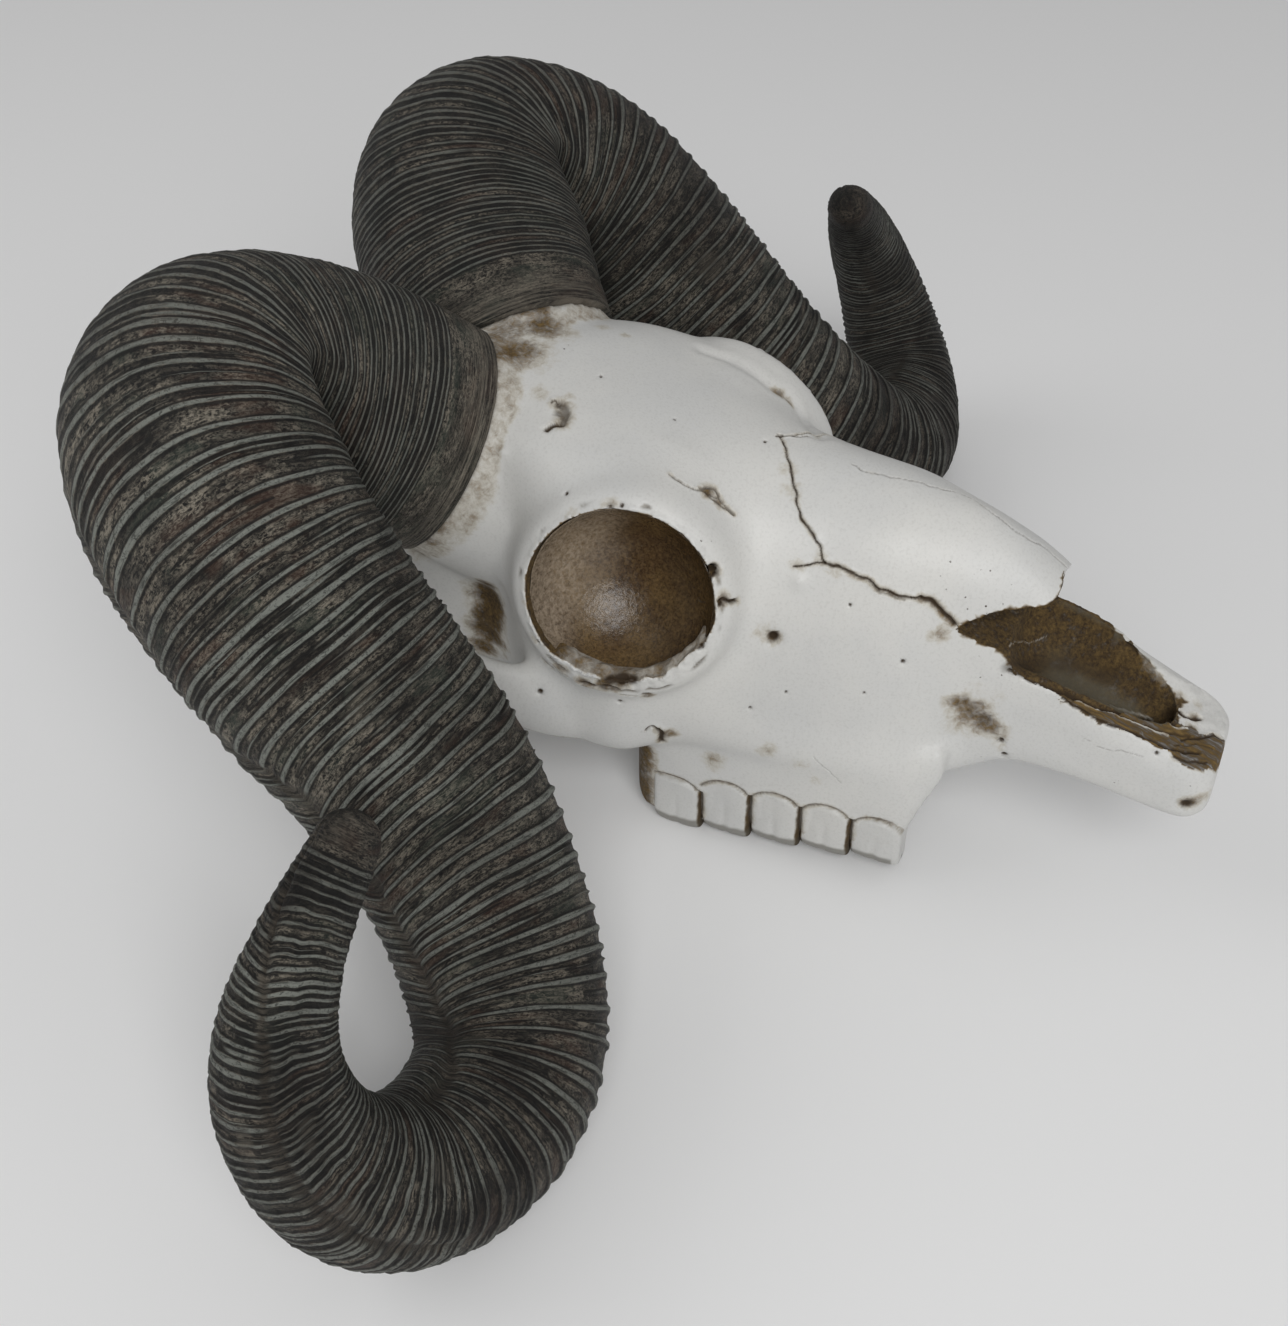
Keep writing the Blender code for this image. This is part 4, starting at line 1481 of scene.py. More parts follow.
@dataclass
class Skull:
    """The bone: forms joined and smoothed into one body, then cut, cracked, chipped and stained."""

    camera: Photograph
    voxel: float = 1.5
    # Cross-sections from the occiput to the snout: the distance forward of the brow, then the right half of
    # the outline as (out, up), from the top midline down to the bottom midline.
    sections: tuple = (
        (-54, (0, -44), (11, -47), (20, -58), (22, -72), (18, -86), (10, -94), (0, -96)),
        (-50, (0, -36), (14, -40), (27, -53), (31, -71), (26, -90), (14, -102), (0, -105)),
        (-38, (0, -25), (18, -29), (33, -45), (36, -67), (32, -92), (18, -106), (0, -109)),
        (-18, (0, -14), (22, -18), (35, -34), (37, -58), (32, -86), (18, -103), (0, -105)),
        (2, (0, -2), (23, -8), (34, -25), (32, -50), (29, -80), (18, -98), (0, -99)),
        (18, (0, -1.5), (22, -6), (34, -17), (32, -45), (31, -78), (20, -97), (0, -97)),
        (36, (0, -4), (22, -6), (37, -13.5), (43, -38), (46, -70), (38, -92), (0, -96)),
        (56, (0, -7), (20, -9), (35.5, -15), (45, -38), (49.5, -68), (41, -93), (0, -95)),
        (71, (0, -10.5), (17, -13), (31, -20), (40.5, -38), (43, -66), (34.4, -91), (0, -94)),
        (84, (0, -13.2), (12, -16), (25, -26), (33.5, -44), (37, -70), (33.2, -90), (0, -93)),
        (100, (0, -14.3), (11, -18), (21, -27.5), (29, -46), (32.4, -73), (31.6, -90), (0, -92)),
        (118, (0, -16.2), (10, -19.5), (18.5, -28), (24.5, -45), (28.2, -73), (29.6, -90), (0, -91)),
        (130, (0, -18.6), (9, -22.5), (16, -31), (20.5, -47), (23.8, -73), (25.0, -89), (0, -88)),
        (141, (0, -22), (8, -26), (14.5, -35), (17.5, -50), (18.5, -70), (16.5, -89.5), (0, -85)),
        (152, (0, -28), (7.5, -31), (12.5, -40), (15.8, -52), (16.8, -66), (15, -83), (0, -81)),
        (162, (0, -36), (7.5, -39), (12.5, -46), (15.8, -56), (16.5, -67), (14.5, -82), (0, -80.5)),
        (174, (0, -55), (8, -55.5), (13.5, -57), (16.2, -62), (16.4, -71), (14, -83), (0, -82)),
        (188, (0, -62), (8, -62.3), (13.5, -64), (16.2, -68), (16.2, -76), (13.5, -85.5), (0, -84.5)),
        (198, (0, -66), (7.5, -66.2), (12.5, -67.8), (15.2, -71.5), (15.2, -79), (12.5, -87), (0, -86.5)),
        (203, (0, -69.5), (5, -70.2), (9.5, -71.4), (12.4, -74), (12.4, -80), (9.5, -84.5), (0, -84.8)),
    )
    section_steps: int = 9
    outline_steps: int = 12
    orbit_centre: tuple = (44.5, 59.9, -38.4)
    orbit_facing: tuple = (0.945, 0.226, 0.235)
    orbit_radius: float = 23.0
    orbit_depth: float = 18.0
    # The bone round a socket before it is smoothed, as (added radius, height over the rim's plane).
    collar: tuple = (
        (-4.0, 2.0), (1.6, 2.4), (3.6, 1.4), (5.4, -2.0), (6.4, -6.0), (7.6, -10.0), (9.8, -14.0),
        (12.6, -18.0),
    )
    # Cheekbone arch, as (out, forward, up, half width, half height).
    arch: tuple = (
        (38.0, 58.0, -77.0, 5.0, 10.0), (45.5, 44.0, -77.5, 5.0, 12.0), (50.5, 28.0, -75.0, 4.4, 9.5),
        (50.5, 10.0, -69.0, 3.8, 6.5), (43.5, -9.0, -64.0, 4.2, 6.0), (31.0, -24.0, -63.0, 5.5, 7.5),
    )
    # The bone that holds the teeth, as (out, forward, up, half width, half height).
    jaw: tuple = (
        (26.6, 57.4, -103.0, 0.8, 15.5), (27.4, 58.4, -103.0, 2.2, 17.0),
        (28.2, 60.6, -103.0, 3.7, 18.0), (28.9, 63.6, -103.0, 4.8, 18.4),
        (29.1, 75.0, -102.4, 5.2, 18.0), (28.0, 90.0, -101.4, 5.1, 17.2),
        (26.8, 105.0, -100.4, 5.0, 16.6), (25.7, 117.0, -99.5, 4.9, 16.2),
        (25.0, 125.0, -98.8, 4.7, 16.0), (24.6, 128.4, -98.0, 4.5, 15.4),
        (24.2, 131.0, -95.4, 4.0, 14.2), (23.4, 133.4, -91.6, 3.5, 11.6),
        (22.4, 136.4, -86.8, 3.0, 8.0), (21.2, 139.4, -83.0, 2.2, 4.6),
    )
    # The stump that a horn sits on, as (share of the radius, height along the horn's axis).
    pedicle: tuple = ((1.12, -26.0), (1.04, -10.0), (1.0, -4.0), (1.0, 0.0))
    pedicle_radius: float = 29.0
    # Rounded knobs, the condyle and the bone under the ear, as (out, forward, up, radius, stretch).
    balls: tuple = (
        (11.5, -51.0, -100.5, 9.0, (0.9, 1.0, 1.5)), (25.0, -18.0, -98.0, 10.5, (0.9, 1.2, 1.0)),
    )
    jugular: tuple = ((27.0, -35.0, -82.0, 13.0), (26.5, -37.0, -100.0, 9.0), (24.5, -40.0, -124.0, 4.6))
    spine_hole: tuple = (0.0, -53.0, -88.0, 7.5)
    # The nasal opening from the side as (forward, up).
    opening: tuple = (
        (136.6, -43.0), (139.0, -40.8), (144.5, -37.6), (150.0, -36.4), (154.8, -35.6), (156.8, -33.4),
        (157.4, -29.0), (160.0, -18.0), (166.0, -11.0), (195.0, -10.0), (225.0, -12.0), (225.0, -45.0),
        (225.0, -77.0), (214.0, -73.0), (204.0, -70.0), (195.0, -67.0), (186.0, -64.5), (176.0, -60.5),
        (163.0, -56.0), (152.5, -53.3), (149.4, -49.5), (146.0, -47.3), (141.0, -45.4),
    )
    # How much higher the broken rim is on the animal's left, in mm.
    left_rim: float = 3.2
    # The rims' height on the opening's outline ends here.
    rim_top: float = -44.0
    # The trough between the snout's rims, as (forward, half width, floor).
    trough: tuple = (
        (148.2, 12.0, -51.0), (149.6, 15.5, -57.0), (153.0, 16.6, -62.0), (163.0, 16.4, -66.5),
        (174.0, 15.4, -69.5), (182.0, 13.0, -72.0), (187.5, 9.4, -73.5), (190.0, 5.0, -71.0),
    )
    trough_top: float = -43.5
    # The brown-painted part of the opening and the streaked part of its near rim, as photograph pixels.
    nose_brown: tuple = (
        (930, 600), (960, 590), (1000, 590), (1060, 570), (1085, 600), (1118, 628), (1126, 641),
        (1134, 647), (1141, 659), (1149, 670), (1151, 680), (1160, 686), (1172, 694), (1184, 699),
        (1188, 704), (1178, 708), (1182, 722), (1176, 728), (1150, 722), (1120, 714), (1090, 706),
        (1060, 697), (1040, 689), (1008, 676), (1002, 660), (990, 652), (960, 634),
    )
    rim_brown: tuple = (
        (1058, 697), (1090, 704), (1120, 712), (1150, 720), (1176, 724), (1192, 728), (1215, 733),
        (1232, 744), (1228, 768), (1206, 770), (1184, 764), (1166, 750), (1148, 741), (1122, 730),
        (1100, 723), (1080, 712),
    )
    cracks: tuple = (
        Crack(
            ((778, 435), (787, 450), (791, 473), (797, 502), (803, 523), (816, 540), (824, 563)),
            0.36, 0.6, 0.5, mirrored=True,
        ),
        Crack(((778, 435), (796, 437), (816, 437)), 0.3, 0.4, 0.3),
        Crack(((824, 563), (807, 564), (793, 566)), 0.34, 0.5, 0.4, mirrored=True),
        Crack(
            ((824, 563), (841, 569), (862, 577), (876, 587), (899, 596), (921, 597)),
            0.46, 0.7, 0.6, mirrored=True,
        ),
        Crack(((921, 597), (935, 605), (946, 616), (954, 624)), 0.62, 0.9, 0.8, mirrored=True),
        Crack(((868, 583), (884, 594), (905, 600)), 0.3, 0.4, 0.3, ink=0.6),
        Crack(
            ((851, 464), (866, 471), (895, 478), (920, 482), (937, 488), (970, 498), (1003, 521),
             (1024, 536), (1045, 548), (1066, 567)),
            0.24, 0.3, 0.2, ink=0.55,
        ),
        Crack(((703, 350), (735, 362), (770, 385), (798, 410), (820, 437)), 1.9, 0.8, 0.0, ink=0.0),
        Crack(((670, 474), (680, 481), (692, 488), (704, 491), (716, 497)), 0.34, 0.5, 0.4, ink=0.7),
        Crack(((700, 488), (712, 487), (718, 493), (722, 502), (734, 514)), 0.42, 0.6, 0.6, ink=0.6),
        Crack(((704, 491), (714, 500), (724, 508), (734, 514)), 0.38, 0.5, 0.6, ink=0.6),
        Crack(((552, 403), (555, 400), (559, 404)), 0.3, 0.5, 0.2, ink=0.9),
        Crack(((559, 404), (564, 406), (566, 412), (565, 419), (561, 424)), 1.15, 0.8, 0.6, ink=0.7),
        Crack(((561, 424), (554, 426), (546, 429)), 0.7, 0.8, 0.3),
        Crack(((647, 731), (650, 727), (655, 727), (660, 731)), 0.36, 0.6, 0.3, mirrored=True, ink=0.9),
        Crack(((658, 729), (662, 735), (662, 742)), 0.7, 0.9, 0.8, mirrored=True),
        Crack(((700, 573), (708, 570), (717, 568)), 0.8, 1.6, 0.3),
        Crack(((703, 577), (711, 577), (717, 573)), 0.6, 1.0, 0.4),
        Crack(((702, 598), (712, 597), (720, 600), (738, 600)), 0.6, 1.3, 0.5),
        Crack(((700, 604), (712, 608), (720, 603)), 0.6, 0.9, 0.6),
        Crack(((580, 682), (592, 686), (604, 687), (616, 690)), 0.6, 0.9, 0.8),
        Crack(((542, 658), (552, 667), (566, 675)), 0.4, 0.5, 0.5, ink=0.8),
        Crack(((620, 694), (634, 696)), 0.4, 0.5, 0.5, ink=0.8),
        Crack(((1084, 738), (1100, 747), (1124, 752), (1142, 758)), 0.2, 0.15, 0.1, ink=0.35),
        # In the nasal opening: painted shadow in the crevice at the near rim's foot, the ledge's painted
        # shadow, and its bare edge.
        Crack(
            ((1009, 672), (1035, 682), (1062, 693), (1090, 704), (1120, 713), (1150, 721), (1174, 724)),
            0.8, 0.8, 0.2,
        ),
        Crack(((1012, 668), (1036, 664), (1060, 664), (1084, 670), (1110, 676)), 2.6, 0.3, 0.0, ink=0.6),
        Crack(((1110, 676), (1130, 688), (1150, 697)), 1.6, 0.3, 0.0, ink=0.5),
        Crack(
            ((1008, 647), (1014, 642), (1030, 642), (1042, 638), (1047, 637)),
            0.3, -0.5, 0.0, ink=-0.28,
        ),
        Crack(((1127, 641), (1133, 647), (1137, 655)), 0.42, 0.5, 0.2, ink=0.8),
        Crack(((1140, 650), (1148, 660), (1156, 672), (1163, 684)), 1.5, 0.0, 0.0, ink=-0.4),
        # The grooves and ridges of the near rim.
        Crack(
            ((1062, 699), (1082, 711), (1104, 723), (1124, 729), (1146, 738), (1172, 750)),
            0.5, 0.6, 0.3,
        ),
        Crack(
            ((1076, 702), (1096, 709), (1120, 718), (1150, 729), (1166, 736)),
            0.5, -0.5, 0.0, ink=-0.45,
        ),
        Crack(
            ((1110, 706), (1130, 713), (1152, 720), (1172, 727), (1188, 729)),
            0.45, -0.4, 0.0, ink=-0.5,
        ),
        Crack(((1100, 709), (1124, 718), (1150, 727), (1170, 733), (1190, 737)), 0.6, 0.5, 0.4, ink=0.75),
        Crack(((1165, 748), (1180, 751), (1200, 753), (1226, 759)), 0.5, 0.7, 0.4),
        Crack(((1182, 739), (1196, 738), (1212, 736), (1222, 739), (1230, 746)), 0.42, 0.6, 0.4),
        Crack(((1176, 745), (1194, 744), (1212, 748)), 0.3, 0.4, 0.4, ink=0.5),
        Crack(((1174, 757), (1186, 762), (1206, 762)), 0.5, 0.5, 0.6, ink=0.9),
        Crack(((1180, 711), (1184, 715), (1192, 718), (1201, 719)), 0.6, 0.8, 0.4),
        Crack(((814, 757), (824, 768), (840, 782)), 0.22, 0.2, 0.1, mirrored=True, ink=0.3),
    )
    gum: Crack = Crack((), 0.42, 0.45, 0.55, ink=0.65)
    tooth_gap: Crack = Crack((), 0.8, 1.1, 0.6, ink=0.8)
    # How far out the teeth's outer faces are at the rear and at the front.
    teeth_face: tuple = (34.6, 30.0)
    # Brown patches, each with its mirror image, as (pixel across, pixel down, radius in mm, strength).
    stains: tuple = (
        (504, 334, 12.0, 0.85), (520, 350, 11.0, 0.9), (526, 312, 8.0, 0.8), (972, 712, 11.0, 0.5),
        (492, 322, 4.6, 1.15), (504, 317, 3.6, 1.05), (520, 312, 3.2, 0.9), (538, 306, 3.0, 0.8),
        (556, 302, 3.0, 0.65), (499, 340, 5.6, 0.8), (498, 353, 6.0, 0.95), (512, 353, 7.0, 1.05),
        (526, 352, 6.4, 0.95), (518, 362, 5.0, 0.75), (533, 338, 4.6, 0.65), (541, 346, 3.4, 0.55),
        (508, 329, 4.0, 0.6), (596, 316, 4.0, 0.65), (602, 327, 3.6, 0.6), (590, 308, 3.0, 0.45),
        (575, 305, 4.0, 0.45), (440, 528, 6.0, 0.8), (430, 541, 6.0, 0.8), (450, 517, 5.0, 0.6),
        (420, 552, 6.0, 0.7), (488, 585, 5.0, 1.0), (488, 600, 9.0, 1.25), (488, 618, 9.0, 1.25),
        (486, 634, 9.0, 1.25), (484, 648, 7.0, 1.0), (570, 397, 2.2, 0.6), (466, 500, 4.0, 0.4),
        (773, 638, 2.8, 1.0), (765, 632, 4.0, 0.5), (960, 703, 5.0, 0.95), (972, 712, 6.0, 1.0),
        (984, 722, 6.5, 1.0), (996, 730, 5.0, 0.85), (978, 706, 4.0, 0.9), (714, 759, 4.6, 0.62),
        (716, 770, 3.4, 0.45), (766, 751, 4.0, 0.62), (668, 733, 4.0, 0.85), (800, 764, 3.4, 0.35),
        (816, 780, 3.0, 0.4), (1190, 803, 3.6, 1.1), (1204, 797, 3.6, 0.6), (610, 506, 3.4, 0.8),
        (708, 492, 3.4, 0.9), (718, 502, 3.0, 0.8), (940, 634, 3.2, 0.7), (932, 636, 2.6, 0.5),
        (712, 572, 3.4, 1.0), (722, 600, 3.4, 0.9), (708, 606, 3.0, 1.0), (704, 626, 2.6, 0.9),
        (620, 676, 5.0, 1.1), (604, 684, 4.0, 1.0), (584, 682, 3.4, 0.9), (648, 696, 3.0, 0.9),
        (560, 668, 3.4, 0.7), (537, 640, 2.8, 0.5), (528, 600, 2.4, 0.5), (540, 545, 2.4, 0.5),
        (572, 516, 2.6, 0.5), (835, 572, 3.0, 0.45), (796, 566, 3.0, 0.5), (792, 490, 4.0, 0.45),
        (790, 470, 3.6, 0.4), (820, 556, 3.0, 0.45), (1194, 717, 2.4, 0.8), (1178, 698, 3.0, 0.8),
        (1200, 706, 3.0, 0.4), (620, 752, 3.4, 0.45), (1000, 745, 3.4, 0.5), (1152, 680, 3.0, 0.8),
        (1140, 664, 3.4, 0.9), (1066, 580, 2.4, 0.9),
    )
    # Patches with pinholes, as (pixel across, pixel down, radius in mm).
    pinholes: tuple = (
        (968, 592, 6.5), (990, 588, 6.5), (955, 575, 5.0), (980, 610, 4.5), (975, 672, 5.0),
        (1000, 680, 5.0), (970, 760, 3.6), (1190, 785, 4.0), (700, 545, 5.0), (707, 640, 4.0),
        (1120, 790, 4.0), (560, 345, 4.0), (866, 838, 3.0),
    )
    # Holes, dents and bumps, each the values of a Pit.
    pits: tuple = (
        (601, 376, 0.5, 0.6), (566, 493, 0.6, 0.6), (675, 419, 0.4, 0.5), (765, 441, 0.5, 0.6),
        (850, 605, 0.5, 0.6), (903, 662, 0.7, 0.8), (864, 693, 0.4, 0.5), (750, 708, 0.5, 0.6),
        (786, 692, 0.4, 0.5), (773, 638, 1.6, 2.2), (1001, 741, 0.9, 1.0), (1004, 755, 0.9, 1.0),
        (1157, 753, 0.6, 0.7), (706, 572, 2.2, 2.4), (714, 569, 1.5, 1.6), (612, 679, 2.4, 0.7),
        (621, 677, 2.8, 0.7), (631, 678, 2.2, 0.7), (620, 702, 0.7, 0.9), (646, 695, 1.2, 1.0),
        (540, 692, 0.9, 1.0), (538, 642, 0.6, 0.8), (622, 505, 0.55, 0.7), (799, 582, 1.8, -0.7, 0.0),
        (503, 452, 1.5, -0.5, 0.0), (708, 612, 1.8, 1.6), (706, 632, 1.4, 1.2), (700, 646, 1.4, 1.2),
        (610, 507, 1.2, 0.9, 0.5), (560, 412, 1.6, 0.9, 0.6), (1186, 805, 1.7, 1.0),
        (966, 704, 1.4, 0.6, 0.2), (984, 720, 2.0, 0.8, 0.35), (484, 602, 5.5, 1.8, 0.0, True),
        (482, 636, 6.0, 2.0, 0.0, True), (1168, 716, 2.2, 1.6, 0.7),
    )

    def build(self) -> Piece:
        """Shapes the bone and stores what its finish reads.

        Returns:
            The finished piece.
        """
        piece = self.join_forms()
        self.soften(piece)
        inside = self.cut_openings(piece)
        self.clean(piece)
        surface = self.surface(piece)
        lines = self.find_lines(surface)
        self.refine(piece, surface, lines)
        self.carve_details(piece, lines, inside)
        return Bench.hand_over(piece, Slot.BONE, ["skull"], 55.0)

    def body(self) -> Piece:
        """The lofted body, from the occiput to the snout.

        Returns:
            The body.
        """
        outlines = []
        for forward, *half in self.sections:
            mirrored = [(-out, up) for out, up in reversed(half[1:-1])]
            loop = catmull(list(half) + mirrored, self.outline_steps, closed=True)
            outlines.append(np.column_stack([loop[:, 0], np.full(len(loop), forward), loop[:, 1]]))
        outlines = np.array(outlines)
        rows, points, _ = outlines.shape
        lofted = catmull(outlines.reshape(rows, -1), self.section_steps).reshape(-1, points, 3)
        return Bench.wrap("skull", place_all(lofted))

    def orbit_frame(self, sign: float) -> Matrix:
        """A socket's own frame: +Z faces out, and the origin is the middle of its rim.

        Args:
            sign: 1 for the animal's left, -1 for its right.

        Returns:
            The matrix from the socket's frame to the model's.
        """
        out, forward, up = self.orbit_facing
        facing = Vector((sign * out, -forward, up)).normalized()
        turn = facing.to_track_quat("Z", "Y").to_matrix().to_4x4()
        return Matrix.Translation(place(*self.orbit_centre, sign)) @ turn

    @staticmethod
    def revolve(name: str, profile: list, matrix: Matrix, around: int = 96) -> Piece:
        """Turns a profile of (radius, height) in mm round a matrix's own Z axis.

        Args:
            name: the new piece's name.
            profile: the radii and heights.
            matrix: where the axis is.
            around: how many points each ring has.

        Returns:
            The closed form.
        """
        turns = round_angles(around)
        rings = [[(r * math.cos(t), r * math.sin(t), h) for t in turns] for r, h in profile]
        return Bench.wrap(name, turned(np.array(rings) * MM, matrix))

    @staticmethod
    def bar(name: str, stations: tuple, sign: float, square: float = 1.0) -> Piece:
        """A flattened bar along (out, forward, up, half width, half height) stations.

        Args:
            name: the new piece's name.
            stations: the stations.
            sign: 1 for the animal's left, -1 for its right.
            square: 1 for an oval section, and less for a squarer one.

        Returns:
            The closed bar.
        """
        rows = catmull(stations, 12)
        middles = place_all(rows[:, :3], sign)
        aheads = unit(np.gradient(middles, axis=0))
        turns = round_angles(36)
        tall = np.array([0.0, 0.0, 1.0])
        rings = []
        for middle, ahead, row in zip(middles, aheads, rows):
            wide = unit(np.cross(ahead, tall))
            broad = squared(np.cos(turns), square) * row[3]
            high = squared(np.sin(turns), square) * row[4]
            rings.append(middle + (np.outer(broad, wide) + np.outer(high, tall)) * MM)
        return Bench.wrap(name, np.array(rings))

    def join_forms(self) -> Piece:
        """Joins all the forms and turns them into one even skin.

        Returns:
            The skin.
        """
        forms = [self.body()]
        for side in Side:
            sign = side.value
            profile = [(self.orbit_radius + more, height) for more, height in self.collar]
            forms.append(self.revolve("collar", profile, self.orbit_frame(sign)))
            forms.append(self.bar("arch", self.arch, sign))
            forms.append(self.bar("jaw", self.jaw, sign, 0.4))
            middles, _, aheads = HornPath(sign).frames(np.array([0.0]))
            turn = Vector(aheads[0]).to_track_quat("Z", "Y").to_matrix().to_4x4()
            stump = [(self.pedicle_radius * wider, height) for wider, height in self.pedicle]
            forms.append(self.revolve("pedicle", stump, Matrix.Translation(Vector(middles[0])) @ turn))
            for *middle, radius, stretch in self.balls:
                forms.append(Bench.ball("ball", place(*middle, sign), radius * MM, stretch))
            across, along = 0.7 * np.cos(round_angles(30)), np.sin(round_angles(30))
            rings = []
            for out, forward, up, radius in catmull(self.jugular, 10):
                oval = np.column_stack([out + radius * across, forward + radius * along, np.full(30, up)])
                rings.append(place_all(oval, sign))
            forms.append(Bench.wrap("jugular", np.array(rings)))
        piece = Bench.join(forms, "skull_bone")
        Bench.apply(piece, "REMESH", mode="VOXEL", voxel_size=self.voxel * MM, use_smooth_shade=True)
        return piece

    def soften(self, piece: Piece) -> None:
        """Smooths the skin, most round the sockets' collars and on the snout's sides over the teeth.

        Args:
            piece: the bone.
        """
        Bench.apply(piece, "SMOOTH", factor=0.5, iterations=6)
        points = Bench.points(piece)
        group = piece.vertex_groups.new(name="soft")
        weight = np.zeros(len(points))
        for side in Side:
            middle = np.array(place(*self.orbit_centre, side.value))
            away = np.linalg.norm(points - middle, axis=1) / MM
            weight = np.maximum(weight, ramp(48.0, 36.0, away))
        forward, up = forward_of(points), height_of(points)
        side_wall = ramp(60.0, 68.0, forward) * ramp(138.0, 128.0, forward)
        side_wall = side_wall * (np.abs(points[:, 0]) > 18 * MM) * ramp(-104.0, -98.0, up)
        weight = np.maximum(weight, side_wall * ramp(-74.0, -80.0, up))
        for k in np.nonzero(weight > 0.01)[0]:
            group.add([int(k)], float(weight[k]), "REPLACE")
        Bench.apply(piece, "SMOOTH", factor=0.5, iterations=34, vertex_group="soft")
        piece.vertex_groups.clear()

    def socket_ball(self, sign: float) -> Piece:
        """The rounded hollow of one socket, with a slightly ragged edge.

        Args:
            sign: 1 for the animal's left, -1 for its right.

        Returns:
            The ball that is cut out.
        """
        radius = (self.orbit_radius**2 + self.orbit_depth**2) / (2 * self.orbit_depth)
        Bench.clear()
        bpy.ops.mesh.primitive_ico_sphere_add(subdivisions=6, radius=radius * MM)
        ball = bpy.context.object
        matrix = self.orbit_frame(sign) @ Matrix.Translation((0.0, 0.0, (radius - self.orbit_depth) * MM))
        points = Bench.points(ball)
        height = points[:, 2] / MM + radius - self.orbit_depth
        broken = self.lower_edge(points, sign) * ramp(-5.5, -2.0, height)
        spots = points / MM
        ragged = 0.4 * grain(spots, 7.0, 31.0 + sign) + 0.2 * grain(spots, 2.2, 33.0 + sign)
        bites = 0.9 * grain(spots, 3.4, 35.0) + 0.35 * grain(spots, 1.5, 36.0) - 1.9
        points = points + unit(points) * ((ragged + broken * bites) * MM)[:, None]
        Bench.move(ball, turned(points, matrix))
        return ball

    def lower_edge(self, points: Array, sign: float) -> Array:
        """How much points belong to a socket's broken lower edge.

        Args:
            points: places in the socket's own frame.
            sign: 1 for the animal's left, -1 for its right.

        Returns:
            The shares, from 0 to 1.
        """
        down = np.array([sign * 0.60, -0.40, -0.70]) @ np.array(self.orbit_frame(sign).to_3x3())
        heading = unit(points[:, :2] + 1e-9)
        return ramp(0.35, 0.85, heading @ unit(down[:2]))

    def opening_cutter(self) -> Piece:
        """The side view of the nasal opening run across the snout, with ragged edges.

        Returns:
            The form that is cut out.
        """
        loop = catmull(np.array(self.opening), 10, closed=True)
        rim = ramp(148.0, 156.0, loop[:, 0]) * ramp(198.0, 184.0, loop[:, 0])
        rim = rim * (loop[:, 1] < self.rim_top)
        rings = []
        for out in np.linspace(-24.0, 24.0, 56):
            row = np.column_stack([np.full(len(loop), out), loop])
            shift = 0.8 * grain(row, 5.0, 41.0) + 0.35 * grain(row, 1.8, 42.0)
            row[:, 2] += self.left_rim * rim * ramp(2.0, 12.0, out)
            row[:, 1] += shift
            row[:, 2] += 0.35 * shift
            rings.append(place_all(row))
        return Bench.wrap("opening", np.array(rings))

    def trough_cutter(self) -> Piece:
        """The hollow between the snout's rims.

        Returns:
            The form that is cut out.
        """
        turns = round_angles(48)
        rings = []
        for forward, half, floor in catmull(np.array(self.trough), 8):
            up = self.trough_top - (self.trough_top - floor) * squared(np.sin(turns), 1.5)
            ring = np.column_stack([half * np.cos(turns), np.full(48, forward), up])
            ring[:, 2] = np.minimum(ring[:, 2], self.trough_top + 2.0)
            ring[:, 0] += 0.4 * grain(ring, 4.0, 51.0)
            ring[:, 2] += 0.5 * grain(ring, 5.0, 52.0) * (ring[:, 2] < self.trough_top)
            rings.append(place_all(ring))
        return Bench.wrap("trough", np.array(rings))

    def cut_openings(self, piece: Piece) -> dict:
        """Cuts the sockets, the nasal opening, the spine's hole and the horns' seats.

        Args:
            piece: the bone.

        Returns:
            The surfaces of the cuts by name.
        """
        inside = {"socket": [], "nose": [], "trough": []}
        for side in Side:
            ball = self.socket_ball(side.value)
            inside["socket"].append(self.surface(ball))
            Bench.carve(piece, ball)
            fractions, _ = HornPath(side.value).evenly(60, 0.0, 0.3)
            rings, _ = HornPath(side.value).sections(fractions, 96)
            Bench.carve(piece, Bench.wrap("seat", rings))
        for name, cutter in (("nose", self.opening_cutter()), ("trough", self.trough_cutter())):
            inside[name].append(self.surface(cutter))
            Bench.carve(piece, cutter)
        *middle, radius = self.spine_hole
        Bench.clear()
        bpy.ops.mesh.primitive_cylinder_add(
            vertices=64, radius=radius * MM, depth=0.016, location=place(*middle),
            rotation=(math.pi / 2, 0, 0),
        )
        hole = bpy.context.object
        Bench.fix_place(hole)
        Bench.carve(piece, hole)
        return inside

    @staticmethod
    def surface(piece: Piece) -> BVHTree:
        """A piece's surface, to find places on."""
        mesh = piece.data
        return BVHTree.FromPolygons([v.co for v in mesh.vertices], [p.vertices for p in mesh.polygons])

    def clean(self, piece: Piece) -> None:
        """Merges doubled points, makes all faces triangles and keeps them over the floor.

        Args:
            piece: the bone.
        """
        Bench.edit_all(piece)
        bpy.ops.mesh.remove_doubles(threshold=0.00008)
        bpy.ops.mesh.dissolve_degenerate(threshold=0.00002)
        bpy.ops.mesh.quads_convert_to_tris()
        bpy.ops.object.mode_set(mode="OBJECT")
        points = Bench.points(piece)
        points[:, 2] = np.maximum(points[:, 2], 0.0)
        Bench.move(piece, points)

